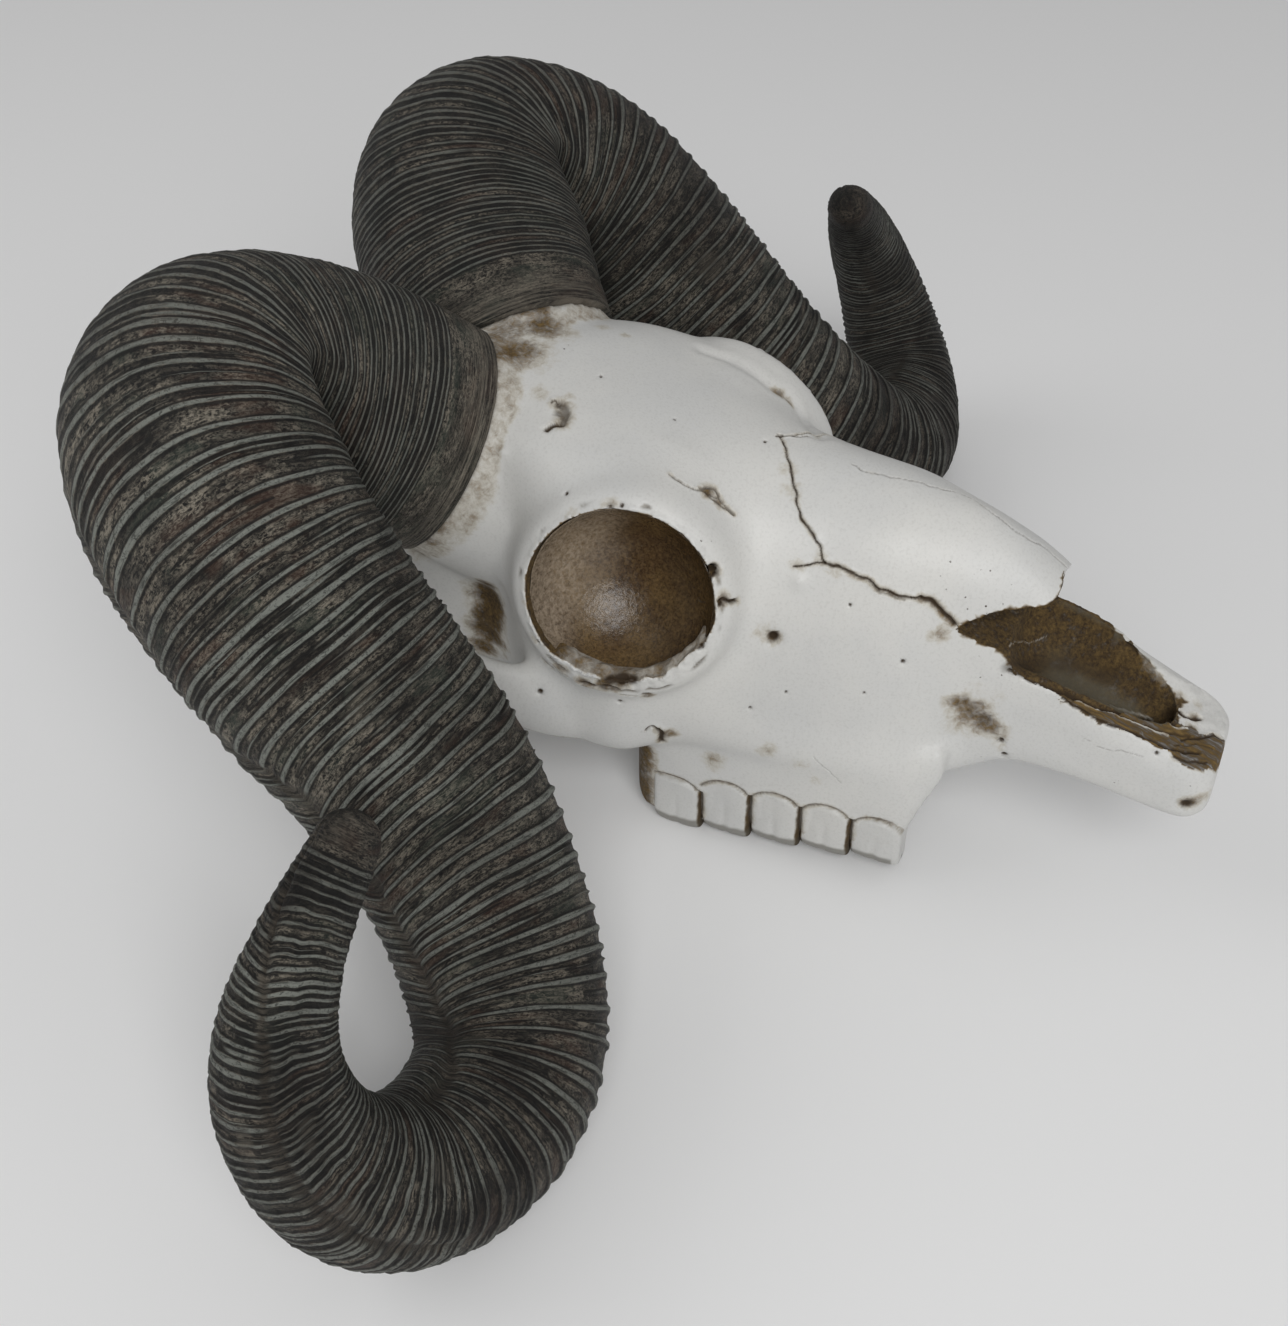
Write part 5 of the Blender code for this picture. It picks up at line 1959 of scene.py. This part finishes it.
    def find_lines(self, surface: BVHTree) -> list:
        """Lays each crack on the surface, and its mirror image.

        Args:
            surface: the bone's surface.

        Returns:
            Pairs of a crack and its points on the surface, one row each.
        """
        found = []
        for crack in self.cracks:
            corners = [self.camera.hit(surface, pixel) for pixel in crack.line]
            corners = np.array([corner for corner in corners if corner is not None])
            if len(corners) < 2:
                LOG.warning("a crack misses the surface at %s", crack.line[0])
                continue
            for sign in (1.0, -1.0) if crack.mirrored else (1.0,):
                points = corners * np.array([sign, 1.0, 1.0])
                found.append((crack, self.lay(surface, points)))
        plan = TeethPlan()
        ends = [plan.rear[1], plan.front[1]]
        forward = np.arange(64.2, 131.0, 0.3)
        for side in Side:
            out = np.interp(forward, ends, self.teeth_face)
            places = place_all(np.column_stack([out, forward, plan.arc(forward)[0]]), side.value)
            found.append((self.gum, self.drop(surface, places)))
            for share in (np.arange(plan.count - 1) + 0.5) / (plan.count - 1):
                gap = ends[0] + share * (ends[1] - ends[0])
                up = np.arange(float(plan.arc(np.array([gap]))[0][0]), -120.0, -0.4)
                across = np.full((len(up), 2), (np.interp(gap, ends, self.teeth_face), gap))
                places = place_all(np.column_stack([across, up]), side.value)
                found.append((self.tooth_gap, self.drop(surface, places)))
        return found

    @staticmethod
    def drop(surface: BVHTree, points: Array) -> Array:
        """Moves points to the nearest places on a surface."""
        return np.array([surface.find_nearest(Vector(point))[0] for point in points])

    def lay(self, surface: BVHTree, corners: Array) -> Array:
        """Runs a slightly shaky line over a surface.

        Args:
            surface: the surface.
            corners: a few points of the line, one row each.

        Returns:
            The line's points on the surface, one row each.
        """
        dense = catmull(corners, 40)
        kept = [dense[0]]
        for point in dense[1:]:
            if np.linalg.norm(point - kept[-1]) > 0.35 * MM:
                kept.append(point)
        kept = np.array(kept)
        shake = np.column_stack([grain(kept / MM, 2.6, 61.0 + axis) for axis in range(3)]) * 0.55 * MM
        return self.drop(surface, kept + shake)

    def refine(self, piece: Piece, surface: BVHTree, lines: list) -> None:
        """Gives the mesh smaller faces where the cracks, pits and rims are.

        Args:
            piece: the bone.
            surface: its surface.
            lines: the cracks' points.
        """
        spots = [points for crack, points in lines if crack.ink != 0.0 and crack.width < 1.5]
        for pit in self.pits:
            spot = self.camera.hit(surface, pit[:2])
            if spot is not None:
                spots.append(np.array([spot]))
        spots = np.concatenate(spots)
        for reach in (1.55, 0.9):
            Bench.clear()
            bpy.context.view_layer.objects.active = piece
            middles = np.array([polygon.center for polygon in piece.data.polygons])
            near = self.distance(middles, spots) < reach * MM
            rim = np.zeros(len(middles), bool)
            if reach > 1.5:
                for side in Side:
                    local = self.orbit_local(middles, side.value)
                    round_rim = np.abs(np.linalg.norm(local[:, :2], axis=1) - self.orbit_radius - 1.0) < 2.4
                    rim |= round_rim & (np.abs(local[:, 2]) < 5.0)
            piece.select_set(True)
            bpy.context.tool_settings.mesh_select_mode = (False, False, True)
            piece.data.vertices.foreach_set("select", np.zeros(len(piece.data.vertices), bool))
            piece.data.edges.foreach_set("select", np.zeros(len(piece.data.edges), bool))
            piece.data.polygons.foreach_set("select", near | rim)
            bpy.ops.object.mode_set(mode="EDIT")
            bpy.ops.mesh.subdivide(number_cuts=1)
            bpy.ops.mesh.select_all(action="SELECT")
            bpy.ops.mesh.quads_convert_to_tris()
            bpy.ops.object.mode_set(mode="OBJECT")

    def orbit_local(self, points: Array, sign: float) -> Array:
        """Places in a socket's own frame, in mm."""
        return turned(points, self.orbit_frame(sign).inverted()) / MM

    @staticmethod
    def distance(points: Array, spots: Array) -> Array:
        """The distance from each point to the nearest spot, in metres, where it is under 12 mm.

        Args:
            points: the points, one row each.
            spots: the spots, one row each.

        Returns:
            The distances, and 12 mm where they are longer.
        """
        tree = tree_of(spots)
        low = spots.min(axis=0) - 0.012
        high = spots.max(axis=0) + 0.012
        result = np.full(len(points), 0.012)
        for k in np.nonzero(((points > low) & (points < high)).all(axis=1))[0]:
            result[k] = min(tree.find(points[k])[2], 0.012)
        return result

    def carve_details(self, piece: Piece, lines: list, inside: dict) -> None:
        """Sinks the cracks and pits, raises the sockets' rims and stores the stains and the painted shade.

        Args:
            piece: the bone.
            lines: the cracks' points.
            inside: the surfaces of the cuts.
        """
        surface = self.surface(piece)
        points = Bench.points(piece)
        normals = Bench.normals(piece)
        marks = Marks(*np.zeros((5, len(points))))
        self.mark_lines(marks, points, lines)
        self.mark_spots(marks, points, surface)
        nose, floor, streak = self.mark_nose(marks, points, normals, inside)
        lift = self.mark_sockets(marks, points, normals, inside["socket"])
        marks.shift += 0.05 * grain(points / MM, 9.0, 95.0) * (1 - nose)
        moved = points + normals * (marks.shift * MM)[:, None] + lift
        moved[:, 2] = np.maximum(moved[:, 2], 0.0)
        Bench.move(piece, moved)
        # Points low on the bone get a little grey: darker towards the bottom.
        low = ramp(-0.085, -0.12, points[:, 2] - BROW_HEIGHT * MM)
        Bench.keep_layers(piece, {
            Layer.STREAK: streak,
            Layer.SPECKS: marks.specks,
            Layer.STAIN: np.clip(marks.stain * (1 - marks.bare), 0.0, 1.3),
            Layer.CRACK: np.clip(marks.crack * (1 - marks.bare), 0.0, 1.0),
            Layer.GREY: low * 0.12 + 0.95 * floor,
        })

    def mark_lines(self, marks: Marks, points: Array, lines: list) -> None:
        """Adds the cracks, seams and ridges.

        Args:
            marks: what is added to.
            points: the bone's points.
            lines: the cracks' points.
        """
        uneven = 1 + 0.35 * grain(points / MM, 3.0, 71.0)
        for line, spots in lines:
            away = self.distance(points, spots) / MM
            width = line.width * uneven
            marks.shift -= line.depth * np.exp(-((away / width) ** 2))
            marks.shift += 0.22 * line.depth * np.exp(-(((away - 1.9 * width) / (0.8 * width)) ** 2))
            ink = line.ink * ramp(1.15, 0.45, away / width)
            marks.crack = np.maximum(marks.crack, ink)
            marks.bare = np.maximum(marks.bare, -ink)
            wash = line.wash * ramp(4.2 * line.width, 0.2, away)
            marks.stain = np.maximum(marks.stain, wash)

    def mark_spots(self, marks: Marks, points: Array, surface: BVHTree) -> None:
        """Adds the pits, the brown patches and the patches with pinholes.

        Args:
            marks: what is added to.
            points: the bone's points.
            surface: the bone's surface.
        """
        for pit in (Pit(*row) for row in self.pits):
            for away in self.round_pixel(points, surface, (pit.across, pit.down), pit.mirrored):
                marks.shift -= pit.depth * np.exp(-((away / pit.radius) ** 2))
                ink = pit.ink * ramp(1.1 * pit.radius, 0.5 * pit.radius, away)
                marks.crack = np.maximum(marks.crack, ink)
        uneven = 1 + 0.3 * grain(points / MM, 3.5, 77.0)
        for across, down, radius, strength in self.stains:
            for away in self.round_pixel(points, surface, (across, down), True):
                brown = strength * ramp(1.25 * radius, 0.1 * radius, away * uneven)
                marks.stain = np.maximum(marks.stain, brown)
        for across, down, radius in self.pinholes:
            for away in self.round_pixel(points, surface, (across, down), False):
                marks.specks = np.maximum(marks.specks, ramp(1.1 * radius, 0.5 * radius, away))

    def round_pixel(
        self, points: Array, surface: BVHTree, pixel: tuple, mirrored: bool
    ) -> list[Array]:
        """How far points are from the place that a pixel shows.

        Args:
            points: the points.
            surface: the surface that the pixel shows.
            pixel: the pixel as (across, down).
            mirrored: whether the place's mirror image counts too.

        Returns:
            The distances in mm from the place, and from its image, or nothing if the pixel misses.
        """
        spot = self.camera.hit(surface, pixel)
        if spot is None:
            return []
        spots = [np.array(spot) * (sign, 1.0, 1.0) for sign in ((1.0, -1.0) if mirrored else (1.0,))]
        return [np.linalg.norm(points - spot, axis=1) / MM for spot in spots]

    def mark_nose(
        self, marks: Marks, points: Array, normals: Array, inside: dict
    ) -> tuple[Array, Array, Array]:
        """Adds the washes, the painted shade under the cheekbone and at the rear of the teeth's bone, and
        the rough surface of the nasal opening.

        Args:
            marks: what is added to.
            points: the bone's points.
            normals: the directions in which they face.
            inside: the surfaces of the cuts.

        Returns:
            Whether each point is in the opening, how far it is on its floor, and how streaky its wash is.
        """
        shelf = self.cut_distance(points, inside["nose"]) < NEAR
        trough = self.cut_distance(points, inside["trough"]) < NEAR
        nose = (shelf | trough).astype(float)
        wash, streak = self.nose_wash(points, shelf, trough)
        flat = ramp(0.62, 0.9, normals[:, 2])
        floor = trough * flat * ramp(152.0, 160.0, forward_of(points))
        stain = np.maximum(marks.stain, wash) * (1 - 0.1 * floor)
        stain = np.maximum(stain, self.horn_wash(points))
        marks.stain = np.maximum(stain, self.under_wash(points, normals))
        rough = 0.35 * grain(points / MM, 2.4, 81.0) + 0.2 * grain(points / MM, 1.0, 82.0)
        marks.shift -= nose * rough * (1 - 0.8 * floor)
        return nose, floor, streak

    def mark_sockets(
        self, marks: Marks, points: Array, normals: Array, surfaces: list
    ) -> Array:
        """Adds the torn rims, the seams round them and the wash of the eye sockets.

        Args:
            marks: what is added to.
            points: the bone's points.
            normals: the directions in which they face.
            surfaces: the surfaces of the sockets' cuts.

        Returns:
            How far each point is lifted, in metres, one row each.
        """
        edge = self.cut_distance(points, surfaces)
        socket = edge < NEAR
        stain = np.where(socket, 1.2, marks.stain)
        lift = np.zeros_like(points)
        spots = points / MM
        torn = ramp(-0.35, 0.45, grain(spots, 3.2, 91.0) + 0.5 * grain(spots, 1.1, 92.0))
        rubble = grain(spots, 1.7, 93.0)
        patchy = grain(spots, 4.0, 94.0)
        ragged = 1.5 * grain(spots, 3.0, 96.0)
        for side in Side:
            local = self.orbit_local(points, side.value)
            close = (np.abs(local[:, 2]) < 9.0) & (np.linalg.norm(local[:, :2], axis=1) < 36.0)
            broken = self.lower_edge(local, side.value) * close
            plaster = broken * ramp(-6.5, -3.5, local[:, 2] + ragged)
            stain = np.where(socket, stain * (1 - 0.42 * ramp(0.0, 0.7, plaster)), stain)
            facing = np.array(self.orbit_frame(side.value).to_3x3())[:, 2]
            outside = close & (edge >= NEAR) & (normals @ facing > 0.2)
            lip = np.exp(-(((edge / MM - 0.55) / 0.6) ** 2)) * outside * (0.3 + 0.7 * torn)
            bumps = broken * outside * ramp(4.6, 2.6, edge / MM) * rubble
            lift += np.outer((0.8 * lip + 0.3 * bumps) * MM, facing)
            seam = np.exp(-(((edge / MM - 1.9 - 1.8 * broken) / 0.45) ** 2)) * outside
            seam = seam * ramp(0.1, 0.5, patchy + 0.35 * broken)
            marks.shift -= 0.5 * seam
            marks.crack = np.maximum(marks.crack, 0.75 * seam)
            stain = np.maximum(stain, 0.6 * seam)
            stain = stain * (1 - 0.7 * lip * (stain < 0.8))
        marks.stain = stain
        return lift

    def nose_wash(
        self, points: Array, shelf: Array, trough: Array
    ) -> tuple[Array, Array]:
        """The brown wash in the nasal opening and on the grooved rim beside it.

        Args:
            points: the bone's points.
            shelf: whether each point is on the cut that opens the nose.
            trough: whether it is in the hollow between the rims.

        Returns:
            The wash at each point, and how much of it runs in streaks.
        """
        forward, up = forward_of(points), height_of(points)
        ragged = 5.0 * np.column_stack([grain(points / MM, 2.6, 83.0), grain(points / MM, 2.6, 84.0)])
        pixels = self.camera.pixel(points) + ragged
        rim = np.array(sorted(row for row in self.opening if row[1] < self.rim_top and row[0] < 210.0))
        above = up - np.interp(forward, rim[:, 0], rim[:, 1])
        beside = (points[:, 0] < 0.0) & (forward > 148.0) & (above > -5.0)
        brown = self.inside(pixels, self.nose_brown)
        streaked = self.inside(pixels, self.rim_brown) & beside & ~trough
        wash = np.where(shelf, 1.2 * brown, 0.0)
        wash = np.where(trough, 1.2, wash)
        wash = np.where(streaked, 1.05, wash)
        return wash, streaked.astype(float)

    @staticmethod
    def inside(pixels: Array, outline: tuple) -> Array:
        """Whether each pixel lies inside a closed outline.

        Args:
            pixels: the pixels, one row each.
            outline: the outline's corners.

        Returns:
            Yes or no for each pixel.
        """
        found = np.zeros(len(pixels), bool)
        across, down = pixels.T
        for (x0, y0), (x1, y1) in zip(outline, outline[1:] + outline[:1]):
            if y0 != y1:
                crossing = x0 + (down - y0) / (y1 - y0) * (x1 - x0)
                found ^= ((y0 > down) != (y1 > down)) & (across < crossing)
        return found

    @staticmethod
    def under_wash(points: Array, normals: Array) -> Array:
        """Painted shade under the cheekbone, and painted shade with some dirt on the rear end of the bone
        that holds the teeth.

        Args:
            points: the bone's points.
            normals: the directions in which they face.

        Returns:
            The darkening at each point.
        """
        forward, up = forward_of(points), height_of(points)
        beside = ramp(22.0, 26.0, np.abs(points[:, 0]) / MM)
        # Painted shade on faces that turn down under the cheekbone.
        under = ramp(-0.45, -0.85, normals[:, 2]) * ramp(66.0, 60.0, forward)
        under = under * ramp(-78.0, -84.0, up)
        # Painted shade with some dirt on the rear-facing end of the bone that holds the teeth.
        rear = ramp(-0.05, 0.3, normals[:, 1]) * ramp(66.5, 64.5, forward)
        rear = rear * ramp(-84.0, -90.0, up) * ramp(50.0, 54.0, forward)
        return beside * np.maximum(0.85 * under, 1.05 * rear)

    @staticmethod
    def horn_wash(points: Array) -> Array:
        """A thin, patchy wash on the bone round the base of each horn.

        Args:
            points: the bone's points.

        Returns:
            The wash at each point.
        """
        wash = np.zeros(len(points))
        patchy = 0.04 + 0.36 * grain(points / MM, 14.0, 121.0)
        for side in Side:
            path = HornPath(side.value)
            fractions, _ = path.evenly(30, 0.0, 0.2)
            middles, radii, _ = path.frames(fractions)
            gaps = np.full(len(points), 1.0)
            for middle, radius in zip(middles, radii):
                gaps = np.minimum(gaps, np.linalg.norm(points - middle, axis=1) - radius)
            wash = np.maximum(wash, patchy * ramp(5.0, 0.5, gaps / MM))
            wash = np.maximum(wash, ramp(1.4, 0.2, gaps / MM) * 0.55)
        return wash

    @staticmethod
    def cut_distance(points: Array, surfaces: list, reach: float = 0.006) -> Array:
        """The distance of each point to the surface of a cut, in metres, where it is under a reach.

        Args:
            points: the points, one row each.
            surfaces: the cut's surfaces.
            reach: how far is looked, in metres.

        Returns:
            The distances, and the reach where they are longer.
        """
        found = np.full(len(points), reach)
        for surface in surfaces:
            for k, point in enumerate(points):
                away = surface.find_nearest(Vector(point), found[k])[3]
                if away is not None:
                    found[k] = min(found[k], away)
        return found


@dataclass(frozen=True)
class TeethPlan:
    """Where the cheek teeth of one side are, in mm from the brow."""

    count: int = 5
    rear: tuple = (30.45, 71.0)
    front: tuple = (25.75, 125.8)
    # The top of each tooth's arc at the gum, from the rear.
    gum: tuple = (-104.3, -101.3, -101.2, -101.2, -101.8)
    drop: float = 3.3
    face_end: tuple = (-118.2, -114.3)
    crown_end: tuple = (-123.2, -118.8)

    def arc(self, forward: Array) -> tuple[Array, Array]:
        """Reads the gum's arcs.

        Args:
            forward: places along the row.

        Returns:
            The gum's height there, and where each place is between two gaps, from -1 to 1.
        """
        share = (forward - self.rear[1]) / (self.front[1] - self.rear[1]) * (self.count - 1)
        tooth = np.clip(np.rint(share), 0, self.count - 1)
        gap = np.clip((share - tooth) * 2, -1.2, 1.2)
        drop = np.where((tooth == 0) & (gap < 0), 0.25 * self.drop, self.drop)
        return np.interp(tooth, range(self.count), self.gum) - drop * np.abs(gap) ** 2.4, gap


@dataclass
class SocketBowl:
    """The glossy painted lining of one eye socket."""

    skull: Skull
    side: Side
    around: int = 160

    def build(self) -> Piece:
        """Shapes the lining as part of a ball that lies just inside the cut.

        Returns:
            The finished piece.
        """
        bone = self.skull
        sign = self.side.value
        radius = (bone.orbit_radius**2 + bone.orbit_depth**2) / (2 * bone.orbit_depth) - 0.1
        middle = radius - bone.orbit_depth
        reach = math.pi / 2 + math.asin(-middle / radius) - 0.004
        turns = round_angles(self.around)
        across = np.column_stack([np.cos(turns), np.sin(turns)])
        edge = grain(np.column_stack([across, np.zeros(self.around)]) * 24.0, 3.5, 101.0 + sign)
        rings = []
        for share in np.linspace(0.01, 1.0, 60):
            angle = reach * share * (1 + 0.02 * ramp(0.7, 1.0, share) * edge)
            ring = np.column_stack([np.sin(angle)[:, None] * across, -np.cos(angle)])
            dents = 0.35 * grain(ring * radius, 9.0, 103.0) + 0.12 * grain(ring * radius, 2.2, 104.0)
            rings.append(ring * (radius - 0.35 + dents[:, None] * 0.6))
        matrix = bone.orbit_frame(sign)
        inner = turned((np.array(rings) + (0.0, 0.0, middle)) * MM, matrix)
        outer = inner + (inner - np.array(matrix @ Vector((0, 0, middle * MM)))) * 0.01
        rings = np.concatenate([outer, inner[::-1]])
        piece = Bench.wrap(f"eye_socket_{self.side.name.lower()}", rings)
        local = bone.orbit_local(Bench.points(piece), sign)
        rim = np.linalg.norm(local[:, :2], axis=1)
        # Darker towards the rim.
        dark = 0.45 * ramp(19.5, 24.0, rim + 2.0 * grain(local, 5.0, 106.0))
        deep = 0.3 * ramp(0.1, 0.6, grain(local, 8.0, 107.0))
        patch = self.rearward(local, sign) + 4.0 * grain(local, 9.0, 108.0)
        # Painted shade on the front wall of the socket.
        deep = deep + 0.35 * ramp(-2.0, -14.0, patch)
        Bench.keep_layers(piece, {
            Layer.STAIN: np.clip(dark + deep, 0.0, 0.9),
            # Painted reflection on the rear wall of the socket.
            Layer.GREY: 0.8 * ramp(0.0, 17.0, patch),
        })
        return Bench.hand_over(piece, Slot.BONE, ["skull"], 50.0)

    def rearward(self, local: Array, sign: float) -> Array:
        """How far each point lies to the rear of the socket's middle, in mm."""
        rear = np.array([-sign * 0.25, 0.95, 0.15]) @ np.array(self.skull.orbit_frame(sign).to_3x3())
        return local[:, :2] @ unit(rear[:2])


@dataclass
class TeethRow:
    """Five moulded cheek teeth of one side, each a low pillow under a gum arc."""

    side: Side
    plan: TeethPlan = TeethPlan()
    root: float = -98.0
    length: float = 13.6
    width: float = 8.4

    def build(self) -> Piece:
        """Shapes the row.

        Returns:
            The finished piece.
        """
        teeth = [self.tooth(k) for k in range(self.plan.count)]
        piece = Bench.join(teeth, f"teeth_{self.side.name.lower()}")
        points = Bench.points(piece)
        forward, up = forward_of(points), height_of(points)
        arc, gap = self.plan.arc(forward)
        share = (forward - self.plan.rear[1]) / (self.plan.front[1] - self.plan.rear[1])
        face_end = np.interp(share, (0.0, 1.0), self.plan.face_end)
        uneven = 0.35 * grain(points / MM, 2.0, 111.0)
        top = ramp(-1.0, -0.2, up - arc + uneven)
        inner = (share < 1.08) & (share > -0.08)
        between = ramp(0.84, 0.95, np.abs(gap) + 0.12 * uneven) * inner
        # Painted shade: a grey band under each tooth's face, where the crown slants in.
        under = ramp(0.6, -1.2, up - face_end + uneven) * (share < 1.09)
        patchy = 0.75 + 0.6 * grain(points / MM, 5.0, 112.0)
        Bench.keep_layers(piece, {
            Layer.STAIN: np.clip(np.maximum(0.85 * top * patchy, 1.1 * between), 0, 1.2),
            Layer.CRACK: np.clip(np.maximum(0.45 * top * patchy, 0.55 * between), 0, 1),
            Layer.GREY: np.maximum(0.08, 0.85 * under),
        })
        return Bench.hand_over(piece, Slot.BONE, ["skull"], 50.0)

    @staticmethod
    def outline(around: int) -> Array:
        """A rounded box as (along, across) from -1 to 1, with evenly spaced points.

        Args:
            around: how many points it has.

        Returns:
            The points, one row each.
        """
        turns = np.linspace(0.0, 2 * np.pi, 4001)
        box = np.column_stack([squared(np.cos(turns), 0.24), squared(np.sin(turns), 0.24)])
        lengths = np.concatenate([[0.0], np.cumsum(np.linalg.norm(np.diff(box, axis=0), axis=1))])
        wanted = np.arange(around) * lengths[-1] / around
        return np.column_stack([np.interp(wanted, lengths, box[:, axis]) for axis in range(2)])

    def tooth(self, k: int) -> Piece:
        """One tooth: levels of a rounded box, sunk over the gum's arc and slanted under the face.

        Args:
            k: its number, counted from the rear.

        Returns:
            The tooth.
        """
        plan = self.plan
        share = k / (plan.count - 1)
        out = plan.rear[0] + (plan.front[0] - plan.rear[0]) * share
        forward = plan.rear[1] + (plan.front[1] - plan.rear[1]) * share
        crown = plan.crown_end[0] + (plan.crown_end[1] - plan.crown_end[0]) * share
        face_end = plan.face_end[0] + (plan.face_end[1] - plan.face_end[0]) * share
        along, across = self.outline(96).T
        outer = across > 0.0
        rings = []
        for up in np.linspace(self.root, crown, 48):
            arc, _ = plan.arc(forward + along * self.length / 2)
            sunk = 2.2 * ramp(-1.3, 0.8, up - arc)
            slant = 2.0 * np.clip((face_end - up) / (face_end - crown), 0.0, 1.0) ** 1.3
            groove = 0.3 * np.exp(-((along / 0.14) ** 2)) * ramp(arc - 4.0, arc - 11.0, up)
            pillow = 0.45 * (1 - along**2)
            end = 1.0 - 0.10 * np.clip((crown + 1.6 - up) / 1.6, 0.0, 1.0) ** 2
            face = np.where(outer, pillow - sunk - slant - groove, 0.0)
            ring = np.column_stack([
                out + across * self.width / 2 * end + face,
                forward + along * self.length / 2 * end,
                np.full(96, up),
            ])
            ring[:, 0] += 0.12 * grain(ring, 3.0, 115.0 + k)
            points = place_all(ring, self.side.value)
            points[:, 2] = np.maximum(points[:, 2], 0.0)
            rings.append(points)
        return Bench.wrap(f"tooth_{k}", np.array(rings))


def paint(piece: Piece, material: Material) -> None:
    """Gives a piece its finish.

    Args:
        piece: the piece.
        material: its finish.
    """
    piece.data.materials.clear()
    piece.data.materials.append(material)
    mesh = piece.data
    LOG.info("%s: %d points, %d faces", piece.name, len(mesh.vertices), len(mesh.polygons))


def main() -> None:
    """Builds the object and the studio."""
    logging.basicConfig(level=logging.INFO, format="%(message)s")
    horn_paint = HornPaint().make()
    bone_paint = BonePaint().make()
    socket_paint = SocketPaint().make()
    paint(Horn(Side.RIGHT, seed=3).build(), horn_paint)
    paint(Horn(Side.LEFT, seed=11, gloom=0.3).build(), horn_paint)
    studio = Studio()
    studio.build()
    skull = Skull(Photograph(studio))
    paint(skull.build(), bone_paint)
    for side in Side:
        paint(SocketBowl(skull, side).build(), socket_paint)
        paint(TeethRow(side).build(), bone_paint)


if __name__ == "__main__":
    main()
